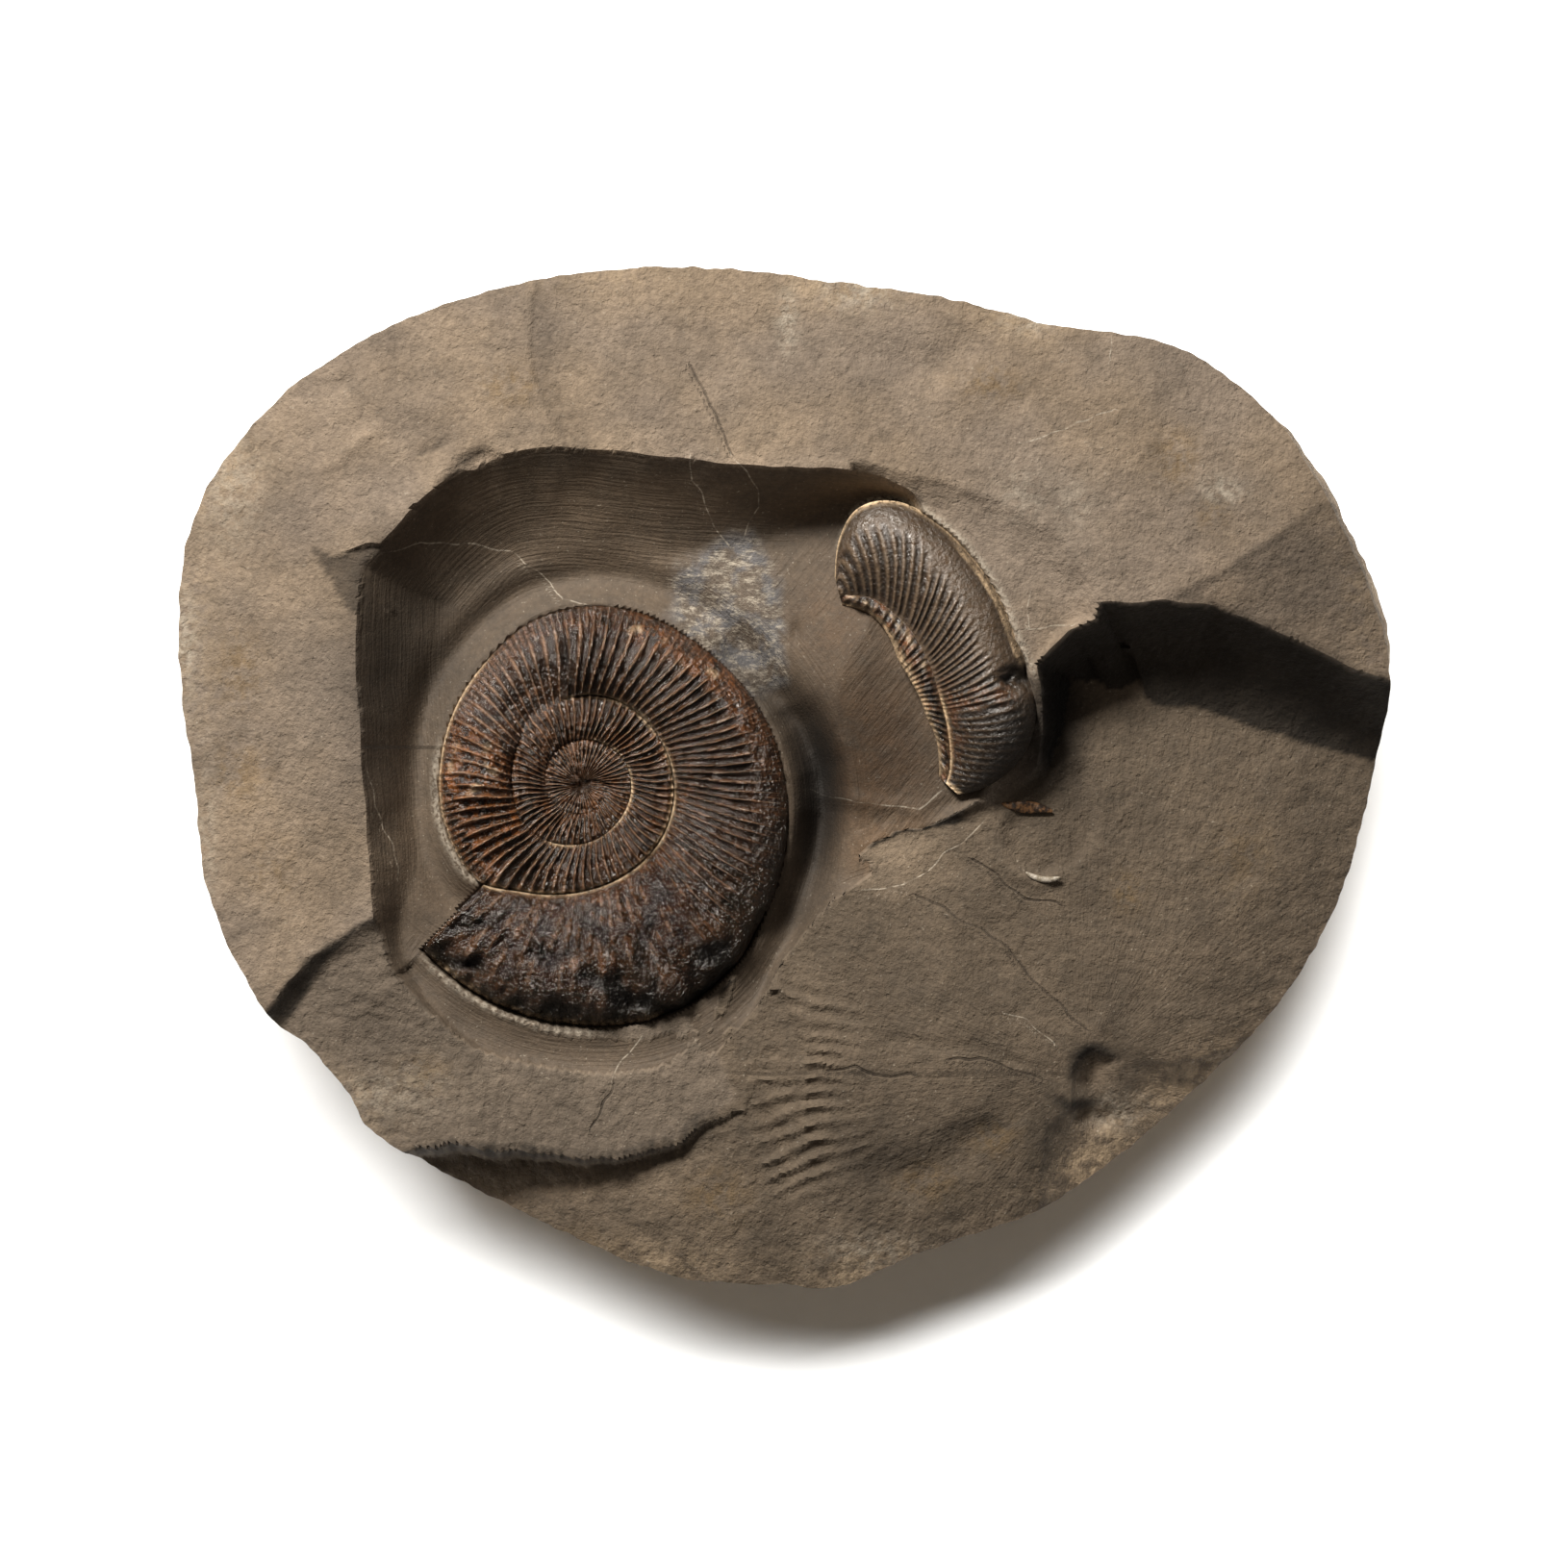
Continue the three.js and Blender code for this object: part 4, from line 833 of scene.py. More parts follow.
    def fringe(self, x: Array, y: Array, beyond: Array) -> Array:
        """Strength of the beaded line of calcite at the large shell's lower left edge."""
        turned = COIL.unwound(x, y)
        plan = self.plan
        beads = 0.55 + 0.45 * np.cos(2 * math.pi * np.radians(turned) * plan.bead_radius / plan.bead_spacing)
        low = between(2, 48, turned, 5) * beads
        left = between(300, 357, turned, 8) * (0.6 + 0.4 * beads)
        return bump(beyond, 0.5, 0.55) * np.maximum(low, left)

    def arc_crust(self, x: Array, y: Array) -> Array:
        """Strength of the crusty line round the small shell's outer right edge."""
        away, angle = ARC.polar(x, y)
        line = bump(ARC.depth_inside(x, y), -0.3, 0.5)
        return 0.9 * line * between(12, 100, angle, 4) * (away > through(ARC.seam)(angle))

    def polar(self, x: Array, y: Array) -> tuple[Array, Array]:
        """Distance and angle, in radians, from where the broken face was struck."""
        dx, dy = x - self.plan.bite_at[0], y - self.plan.bite_at[1]
        return np.hypot(dx, dy), np.arctan2(dy, dx)

    def break_grain(self, name: str, x: Array, y: Array) -> Array:
        """Roughness of a broken face: hackles fan out from the blow, pits cover the terrace."""
        if name in ("fracture", "ledge", "bevel", "imprint", "bite"):
            away, angle = self.polar(x, y)
            turned = angle * HACKLE_REACH + 1.2 * noise(x, y, 9, 25)
            strong = 0.35 + 0.65 * rise(8, 34, 30 - x) * rise(-24, -40, y)
            hackles = 0.13 * noise(turned, away * 0.2, 2.1, 21) + 0.07 * noise(turned, away * 0.35, 1.0, 22)
            coarse = 0.25 * fractal(x, y, 11, 23, 3) + 0.07 * fractal(x, y, 3.1, 26, 2)
            edge = rise(0.75, 1, self.share(x, y)) * 0.22 * fractal(x, y, 3.2, 24, 3)
            return hackles * strong * rise(0, 10, away) + coarse + edge + self.ripples(x, y)
        if name == "terrace":
            pits = 0.18 * noise(x, y, 1.9, 31) + 0.12 * noise(x, y, 1.0, 32)
            return 0.3 * fractal(x, y, 14, 33, 3) + pits
        return 0.15 * fractal(x, y, 5, 41, 3)

    def ripples(self, x: Array, y: Array) -> Array:
        """Height of the wavy ridges where the break slowed down."""
        away, angle = self.polar(x, y)
        run = np.degrees(angle) % 360 + 1.5 * noise(x, y, 9, 27) + 0.5 * noise(x, y, 3.5, 29)
        turns = run * 2 * math.pi / 3.3
        reach = 50 + 1.8 * np.cos(turns) + 1.5 * noise(x * 0.1, y, 9, 30)
        window = rise(28, 45, away) ** 1.5 * fading(reach, reach + 1.8, away)
        window = window * between(163, 204, run, 4)
        ridges = 2 * (0.5 + 0.5 * np.cos(turns)) ** 1.6 - 0.8
        return 0.5 * window * ridges * np.clip(0.75 + 0.5 * noise(x, y, 6, 28), 0.2, 1.2)

    def wall_run(self, x: Array, y: Array) -> Array:
        """Way gone along the basin's wall, in about millimetres."""
        return np.arctan2(y - 5, x + 25) * 40

    def moat_run(self, x: Array, y: Array) -> Array:
        """Way gone round the large shell, in about millimetres."""
        return COIL.unwound(x, y) * 0.6

    def tool_marks(self, x: Array, y: Array, inside: Array, width: Array) -> Array:
        """Low strokes that follow the wall, the moat or the saddle between the shells."""
        beyond = COIL.beyond(x, y)
        run = self.wall_run(x, y)
        on_wall = fading(0.8, 1.5, inside / width)
        wall = noise(inside + 0.4 * noise(x, y, 9, 51), run, 1.3, 52) * 0.5
        wall = wall + noise(inside * 3, run * 0.25, 2.6, 53) * 0.5
        moat = noise(beyond * 3, self.moat_run(x, y) * 0.5, 3.0, 54)
        in_moat = between(1, 13, beyond, 2) * (1 - on_wall)
        slant = noise((x - y) * 2.2, (x + y) * 0.25, 3.0, 55)
        on_saddle = rise(10, 14, beyond) * (1 - on_wall) * rise(-6, 0, x)
        return 0.04 * wall * on_wall + 0.06 * moat * in_moat + 0.1 * slant * on_saddle

    def details(self, x: Array, y: Array, worked: Array, distances: dict[str, Array]) -> Array:
        """Height of the single ridges, grooves and steps."""
        broken = rise(0, 1.5, np.maximum(distances["fracture"], distances["ledge"]))
        split = (1 - worked) * (1 - broken) * (distances["terrace"] < 0)
        height = np.zeros(x.shape)
        wx, wy = self.wobbled(x, y, 0.35)
        for strokes, mask in ((RIM_STROKES, split), (BASIN_STROKES, worked), (BROKEN_STROKES, broken)):
            for stroke in strokes:
                height += stroke.height * stroke.share(wx, wy, trim=0.06, taper=0.5) * mask
        wx, wy = self.wobbled(x, y, 0.3)
        for step in STEPS:
            distance, signed, along = path_offset(wx, wy, step.path)
            ends = np.sin(math.pi * held(along)) ** 0.4
            fall = rise(-0.35, 0.35, -signed) * np.exp(-distance / step.fade) * ends
            height -= step.drop * fall * (1 - worked)
        return height

    def sockets(self, x: Array, y: Array, z: Array) -> Array:
        """Keeps the stone below both shells."""
        z = z + 0.4 * self.arc_crust(x, y)
        depth = self.plan.socket_depth
        below_coil = rise(0.1, 1.0, -COIL.beyond(x, y))
        z = z * (1 - below_coil) + np.minimum(z, COIL.midplane - depth) * below_coil
        below_arc = rise(0.1, 1.1, ARC.depth_inside(x, y))
        level = ARC.level(ARC.polar(x, y)[1]) - depth
        return z * (1 - below_arc) + np.minimum(z, level) * below_arc

    def layers(self, x: Array, y: Array, z: Array, worked: Array, distances: dict[str, Array],
               width: Array) -> dict[str, Array]:
        """Values that the stone's finish reads at each vertex."""
        away, angle = self.polar(x, y)
        beyond = COIL.beyond(x, y)
        broken = rise(-0.3, 1.2, np.maximum(distances["fracture"], distances["ledge"])) * (1 - worked)
        rough = rise(-0.3, 0.8, distances["terrace"]) * (1 - worked) * (1 - broken)
        share = self.share(x, y)
        vein, vein_near = hairlines_at(x, y, VEINS, 1.2)
        crack, crack_near = hairlines_at(x, y, CRACKS, 1.0)
        patch = inside_distance(*self.wobbled(x, y, 1.5), SPECKLED)[0]
        wall_share = np.clip(distances["basin"] / width, 0, 2)
        return {
            "worked": worked,
            "broken": broken,
            "terrace": rough,
            "weathered": rise(0.87, 0.98, share) * spots_at(x, y, WEATHERED_SPOTS),
            "fringe": np.maximum(self.fringe(x, y, beyond), self.arc_crust(x, y)),
            "wall_run": self.wall_run(x, y),
            "wall_across": distances["basin"],
            "wall_share": wall_share,
            "moat_run": self.moat_run(x, y),
            "moat_across": beyond,
            "hackle_run": away,
            "hackle_across": angle * HACKLE_REACH,
            "vein": vein,
            "vein_near": vein_near,
            "crack": crack,
            "crack_near": crack_near,
            "ochre": spots_at(x, y, OCHRE_SPOTS),
            "pale": spots_at(x, y, PALE_SPOTS),
            "warm": spots_at(x, y, WARM_SPOTS) * worked,
            "speckle": rise(-1.5, 1.5, patch) * worked,
            "rind": np.zeros(x.shape),
        }


# Mesh helpers


def deselect_all() -> None:
    """Leaves no object selected."""
    bpy.ops.object.select_all(action="DESELECT")


def grid_object(name: str, columns: int, rows: int) -> tuple[bpy.types.Object, Array, Array]:
    """Adds a grid to shape.

    Args:
        name: name of the new object.
        columns: faces along X.
        rows: faces along Y.

    Returns:
        The object, and each vertex's column and row.
    """
    deselect_all()
    bpy.ops.mesh.primitive_grid_add(x_subdivisions=columns, y_subdivisions=rows, size=2, location=(0, 0, 0))
    made = bpy.context.active_object
    made.name = name
    made.data.name = name
    flat = positions(made)
    column = np.rint((flat[:, 0] + 1) / 2 * columns).astype(int)
    row = np.rint((flat[:, 1] + 1) / 2 * rows).astype(int)
    return made, column, row


def positions(made: bpy.types.Object) -> Array:
    """The vertices of an object."""
    flat = np.empty(len(made.data.vertices) * 3)
    made.data.vertices.foreach_get("co", flat)
    return flat.reshape(-1, 3)


def place_vertices(made: bpy.types.Object, points: Array) -> None:
    """Moves each vertex to its place, given in metres."""
    made.data.vertices.foreach_set("co", points.ravel())
    made.data.update()


def write_layer(made: bpy.types.Object, name: str, values: Array) -> None:
    """Stores one value for each vertex under a name that a material can read."""
    layer = made.data.attributes.new(name, "FLOAT", "POINT")
    layer.data.foreach_set("value", np.asarray(values, float).ravel())


def change_layer(made: bpy.types.Object, name: str, change: Callable[[Array], Array]) -> None:
    """Replaces the values of a stored layer by what a function makes of them."""
    layer = made.data.attributes[name]
    values = np.empty(len(layer.data))
    layer.data.foreach_get("value", values)
    layer.data.foreach_set("value", change(values))


def edit(made: bpy.types.Object) -> None:
    """Opens one object for editing, with nothing selected in it."""
    deselect_all()
    made.select_set(True)
    bpy.context.view_layer.objects.active = made
    bpy.ops.object.mode_set(mode="EDIT")
    bpy.ops.mesh.select_mode(type="VERT")
    bpy.ops.mesh.select_all(action="DESELECT")


def leave_editing() -> None:
    """Goes back to whole objects."""
    bpy.ops.object.mode_set(mode="OBJECT")


def close_up(made: bpy.types.Object, smooth_angle: float) -> None:
    """Merges doubled vertices, turns the faces outwards and shades them.

    Args:
        made: the object.
        smooth_angle: edges bent by more degrees than this look sharp.
    """
    edit(made)
    bpy.ops.mesh.select_all(action="SELECT")
    bpy.ops.mesh.remove_doubles(threshold=2e-6)
    bpy.ops.mesh.normals_make_consistent(inside=False)
    leave_editing()
    bpy.ops.object.shade_smooth_by_angle(angle=math.radians(smooth_angle))


def dress(made: bpy.types.Object, material: bpy.types.Material) -> None:
    """Gives an object one material."""
    made.data.materials.clear()
    made.data.materials.append(material)


# Materials


def linear(hex_colour: str) -> tuple[float, float, float, float]:
    """Turns an sRGB hex colour into linear RGBA."""
    channels = [int(hex_colour[i:i + 2], 16) / 255 for i in (1, 3, 5)]
    straight = [c / 12.92 if c <= 0.04045 else ((c + 0.055) / 1.055) ** 2.4 for c in channels]
    return (*straight, 1.0)


def per_mm(size: float) -> float:
    """Scale of a pattern on metre coordinates whose features are size millimetres across."""
    return 1 / (size * MM)


@dataclass
class Paint:
    """A material's node tree while it is being built."""

    name: str

    def __post_init__(self) -> None:
        """Makes an empty material with an output node."""
        self.material = bpy.data.materials.new(self.name)
        self.material.use_nodes = True
        self.tree = self.material.node_tree
        self.tree.nodes.clear()
        self.output = self.tree.nodes.new("ShaderNodeOutputMaterial")

    @cached_property
    def where(self) -> Socket:
        """The place of a point on the object."""
        return self.add("TexCoord", output="Object")

    def add(self, kind: str, settings: dict | None = None, inputs: dict | None = None,
            output: int | str = 0) -> Socket:
        """Adds a node with its settings and links.

        Args:
            kind: the node's type, without ShaderNode.
            settings: properties to set.
            inputs: values or sockets, by the input's name or number.
            output: which output to return.

        Returns:
            The chosen output socket.
        """
        made = self.tree.nodes.new("ShaderNode" + kind)
        for key, value in (settings or {}).items():
            setattr(made, key, value)
        for key, value in (inputs or {}).items():
            if isinstance(value, Socket):
                self.tree.links.new(value, made.inputs[key])
            else:
                made.inputs[key].default_value = value
        return made.outputs[output]

    def layer(self, name: str) -> Socket:
        """A value stored on the mesh."""
        return self.add("Attribute", {"attribute_name": name}, output="Fac")

    def math(self, operation: str, a: object, b: object = 0.0) -> Socket:
        """Sum, product or another operation on values."""
        return self.add("Math", {"operation": operation}, {0: a, 1: b})

    def blend(self, share: object, a: object, b: object, mode: str = "MIX") -> Socket:
        """Mixes two colours."""
        return self.add("Mix", {"data_type": "RGBA", "blend_type": mode}, {0: share, 6: a, 7: b}, 2)

    def tinted(self, colour: object, *stains: tuple[object, str]) -> Socket:
        """Lays stains over a colour in order, each by its share and its plain colour."""
        for share, hex_colour in stains:
            colour = self.blend(share, colour, linear(hex_colour))
        return colour

    def times(self, a: object, b: object) -> Socket:
        """Product of two values."""
        return self.math("MULTIPLY", a, b)

    def patchy(self, name: str, cloud: object, low: float, high: float, start: float = 0.0,
               end: float = 1.0) -> Socket:
        """A value stored on the mesh, broken up by a stretched cloud."""
        return self.times(self.layer(name), self.ramp(cloud, low, high, start, end))

    def ramp(self, value: object, low: float, high: float, start: float = 0.0,
             end: float = 1.0) -> Socket:
        """Stretches a value smoothly from low..high to start..end."""
        inputs = {0: value, 1: low, 2: high, 3: start, 4: end}
        return self.add("MapRange", {"interpolation_type": "SMOOTHSTEP"}, inputs)

    def grain(self, size: float, detail: float = 2.0, rough: float = 0.5, bent: float = 0.0,
              where: object = None) -> Socket:
        """Cloudy noise with features of a size in millimetres, on the object or on other coordinates."""
        inputs = {"Vector": self.where if where is None else where, "Scale": per_mm(size)}
        inputs |= {"Detail": detail, "Roughness": rough, "Distortion": bent}
        return self.add("TexNoise", None, inputs, "Fac")

    def strands(self, along: object, across: object, length: float, width: float) -> Socket:
        """Streaks that run along one stored coordinate, both in millimetres."""
        a = self.math("MULTIPLY", along, 1 / length)
        b = self.math("MULTIPLY", across, 1 / width)
        where = self.add("CombineXYZ", None, {0: a, 1: b})
        return self.add("TexNoise", None, {"Vector": where, "Scale": 1.0, "Detail": 3.0}, "Fac")

    def raised(self, height: object, depth: float, under: object = None) -> Socket:
        """A bumped normal from a height of 0 to 1, with its full depth in millimetres."""
        inputs = {"Height": height, "Distance": depth * MM, "Strength": 1.0}
        if under is not None:
            inputs["Normal"] = under
        return self.add("Bump", None, inputs)

    def embossed(self, *heights: tuple[object, float]) -> Socket:
        """A normal bumped by several heights in order, each with its full depth."""
        normal = None
        for height, depth in heights:
            normal = self.raised(height, depth, normal)
        return normal

    def finish(self, inputs: dict) -> bpy.types.Material:
        """Adds the shader with its values and links, and returns the material."""
        shader = self.add("BsdfPrincipled", None, inputs)
        self.tree.links.new(shader, self.output.inputs["Surface"])
        return self.material


@dataclass(frozen=True)
class SplitMudstone:
    """Fine calcareous mudstone, split with a hammer and cut back round the fossils.

    The split face is matt with a leathery grain, the worked face is smoother, browner and stroked.
    """

    face: str = "#86786a"
    face_warm: str = "#8e7d6a"
    worked_face: str = "#5f5244"
    warm_face: str = "#674e36"
    broken_face: str = "#695c4d"
    terrace_face: str = "#706457"
    dark: str = "#4b443b"
    rind: str = "#b29c80"
    rind_dark: str = "#96806a"
    calcite: str = "#b9af9f"
    ochre: str = "#786242"
    blue_grey: str = "#65666a"
    open_crack: str = "#241d16"

    def build(self) -> bpy.types.Material:
        """Makes the material."""
        paint = Paint("split_mudstone")
        colour, normal = self.colour(paint), self.relief(paint)
        rough = paint.ramp(paint.layer("worked"), 0, 1, 0.88, 0.72)
        return paint.finish({"Base Color": colour, "Roughness": rough, "IOR": 1.5, "Normal": normal})

    def line(self, paint: Paint, name: str, width: float) -> Socket:
        """Strength of a hairline of a width in millimetres."""
        off = paint.math("ABSOLUTE", paint.layer(name))
        thin = paint.ramp(off, width * 0.4, width, 1, 0)
        near = paint.ramp(paint.layer(name + "_near"), 0.05, 0.4)
        return paint.times(thin, near)

    def colour(self, paint: Paint) -> Socket:
        """Colour of the stone, from clouds, stains, veins and rind, times the stored painted light, shade and
        tone.
        """
        clouds = paint.ramp(paint.grain(24, 4), 0.35, 0.65)
        colour = paint.blend(clouds, linear(self.face), linear(self.face_warm))
        weathered = paint.patchy("weathered", paint.grain(2.5, 5, 0.7), 0.38, 0.6)
        ochre = paint.patchy("ochre", paint.grain(2.2, 5, 0.7), 0.4, 0.6)
        pale = paint.patchy("pale", paint.grain(1.6, 5, 0.7), 0.38, 0.6)
        flat = paint.add("Mapping", None, {"Vector": paint.where, "Scale": (0.35, 1, 1)})
        grit = paint.grain(0.9, 6, 0.85, where=flat)
        broken_up = paint.ramp(paint.grain(1.8, 3), 0.4, 0.56, 0.1, 0.65)
        colour = paint.tinted(
            colour,
            (paint.layer("worked"), self.worked_face),
            (paint.patchy("warm", paint.grain(3.5, 5, 0.7), 0.3, 0.6, 0.4), self.warm_face),
            (paint.layer("broken"), self.broken_face),
            (paint.layer("terrace"), self.terrace_face),
            (paint.times(weathered, 0.8), self.rind),
            (paint.patchy("fringe", paint.grain(0.6, 3), 0.35, 0.55), self.calcite),
            (paint.ramp(paint.grain(5, 6, 0.7), 0.42, 0.72, 0, 0.35), self.dark),
            (paint.ramp(paint.grain(0.5, 2), 0.66, 0.76, 0, 0.4), self.calcite),
            (paint.times(ochre, 0.65), self.ochre),
            (paint.times(pale, 0.75), self.calcite),
            (paint.patchy("speckle", paint.grain(3.5, 3), 0.4, 0.6, 0.75, 0.1), self.blue_grey),
            (paint.patchy("speckle", grit, 0.47, 0.66, 0, 0.85), self.calcite),
            (paint.times(self.line(paint, "vein", 0.14), broken_up), self.calcite),
            (paint.times(self.line(paint, "crack", 0.16), 0.6), self.open_crack),
        )
        crust_clouds = paint.ramp(paint.grain(9, 7, 0.7), 0.3, 0.7)
        crusty = paint.blend(crust_clouds, linear(self.rind), linear(self.rind_dark))
        colour = paint.blend(paint.layer("rind"), colour, crusty)
        sand = paint.ramp(paint.grain(0.9, 2, 0.7), 0.3, 0.7, 0.86, 1.14)
        clouded = paint.ramp(paint.grain(11, 6, 0.62, 0.6), 0.3, 0.7, 0.84, 1.16)
        # Painted light and shade and the stored tone, broken up by sand and clouds
        painted_light_and_tone = paint.times(paint.times(paint.layer("painted_light_and_tone"), sand), clouded)
        grey = paint.add("CombineXYZ", None, {0: painted_light_and_tone, 1: painted_light_and_tone, 2: painted_light_and_tone})
        return paint.blend(1.0, colour, grey, "MULTIPLY")

    def relief(self, paint: Paint) -> Socket:
        """Fine relief: leathery grain, hackles, tool strokes and grit."""
        worked = paint.layer("worked")
        natural = paint.math("SUBTRACT", 1.0, worked)
        on_wall = paint.times(paint.ramp(paint.layer("wall_share"), 0.9, 1.6, 1, 0), worked)
        off_wall = paint.math("SUBTRACT", worked, on_wall)
        in_moat = paint.times(off_wall, paint.ramp(paint.layer("moat_across"), 11, 15, 1, 0))
        on_saddle = paint.math("SUBTRACT", off_wall, in_moat)
        hackles = paint.strands(paint.layer("hackle_run"), paint.layer("hackle_across"), 3.2, 0.75)
        wall = paint.strands(paint.layer("wall_run"), paint.layer("wall_across"), 9, 0.4)
        moat = paint.strands(paint.layer("moat_run"), paint.layer("moat_across"), 7, 0.45)
        stretched = {"Vector": paint.where, "Rotation": (0, 0, math.radians(52)), "Scale": (7, 1, 1)}
        slant = paint.add("Mapping", {"vector_type": "TEXTURE"}, stretched)
        pits = paint.ramp(paint.grain(2.4, 5, 0.7), 0.3, 0.7)
        return paint.embossed(
            (paint.times(paint.grain(1.5, 3, 0.7), natural), 0.36),
            (paint.times(paint.ramp(paint.grain(4, 6, 0.65), 0.3, 0.7), natural), 0.16),
            (paint.times(paint.ramp(paint.grain(1.2, 1, 0.5), 0.3, 0.42), natural), 0.06),
            (paint.times(hackles, paint.layer("broken")), 0.14),
            (paint.times(wall, on_wall), 0.22),
            (paint.times(moat, in_moat), 0.18),
            (paint.times(paint.grain(0.8, 4, 0.6, where=slant), on_saddle), 0.3),
            (paint.times(paint.grain(0.8, 4, 0.7), paint.layer("speckle")), 0.3),
            (paint.grain(0.45, 3, 0.7), 0.12),
            (self.line(paint, "crack", 0.3), -0.15),
            (paint.times(pits, paint.layer("rind")), 0.7),
        )


@dataclass(frozen=True)
class VarnishedShell:
    """Fossil shell turned to brown calcite and varnished by hand.

    It is dark and glossy and rusty in patches, with painted shade that is blackest in the grooves and pits,
    and a painted highlight on the rib crests.
    """

    name: str = "varnished_fossil_shell"
    dark: str = "#110a06"
    brown: str = "#402a1b"
    grey: str = "#43342a"
    crest_highlight: str = "#7d6450"
    rust: str = "#8a5226"
    cream: str = "#cdb391"
    painted_shade_and_dark: str = "#0d0906"
    gloss: float = 0.13
    crumple: float = 0.66
    groove_shade: float = 0.9
    crest_highlight_share: float = 0.6

    def build(self) -> bpy.types.Material:
        """Makes the material."""
        paint = Paint(self.name)
        rib = paint.layer("rib")
        patches = paint.ramp(paint.grain(3.0, 5, 0.7), 0.38, 0.62)
        colour = paint.blend(patches, linear(self.dark), linear(self.brown))
        crust = paint.patchy("crust", paint.grain(0.7, 4, 0.75), 0.33, 0.5)
        colour = paint.tinted(
            colour,
            (paint.layer("grey"), self.grey),
            # Painted shade in the grooves
            (paint.ramp(rib, -1, 0.4, self.groove_shade, 0), self.dark),
            # Painted highlight on the rib crests
            (paint.ramp(rib, 0.2, 0.95, 0, self.crest_highlight_share), self.crest_highlight),
            (paint.patchy("rust", paint.grain(1.8, 5, 0.75), 0.42, 0.6), self.rust),
            # Painted shade in pits, in the cleft and on faces turned from the light, and dark patches
            (paint.layer("painted_shade_and_dark"), self.painted_shade_and_dark),
            (crust, self.cream),
        )
        threads = paint.strands(paint.layer("outward"), paint.layer("along"), 5, 0.6)
        cells = {"Vector": paint.where, "Scale": per_mm(0.7), "Randomness": 1.0}
        normal = paint.embossed(
            (paint.grain(2.2, 3, 0.6, 0.6), self.crumple * 1.2),
            (paint.grain(0.9, 4, 0.7, 0.8), self.crumple),
            (paint.times(threads, paint.layer("crushed")), 0.1),
            (paint.add("TexVoronoi", None, cells, "Distance"), self.crumple * 0.35),
            (paint.grain(0.3, 2), 0.06),
        )
        rough = paint.ramp(paint.grain(1.1, 4, 0.7), 0.3, 0.7, self.gloss * 0.6, self.gloss * 1.5)
        rough = paint.math("MAXIMUM", rough, paint.times(crust, 0.8))
        rough = paint.math("MAXIMUM", rough, paint.times(paint.layer("painted_shade_and_dark"), 0.2))
        return paint.finish({"Base Color": colour, "Roughness": rough, "IOR": 1.6, "Normal": normal})


@dataclass(frozen=True)
class ShellFlake:
    """A loose flake of fossil shell left in the break: thin, waxy and streaked."""

    name: str
    light: str
    deep: str

    def build(self) -> bpy.types.Material:
        """Makes the material."""
        paint = Paint(self.name)
        streaks = paint.ramp(paint.grain(1.4, 4, 0.7), 0.42, 0.58)
        colour = paint.blend(streaks, linear(self.light), linear(self.deep))
        normal = paint.raised(paint.grain(0.5, 3), 0.15)
        return paint.finish({"Base Color": colour, "Roughness": 0.45, "IOR": 1.55, "Normal": normal})


@dataclass(frozen=True)
class PaintedFloor:
    """A matt white studio board."""

    colour: str = "#f4f4f2"

    def build(self) -> bpy.types.Material:
        """Makes the material."""
        return Paint("white_board").finish({"Base Color": linear(self.colour), "Roughness": 0.9})


# Sub-assemblies


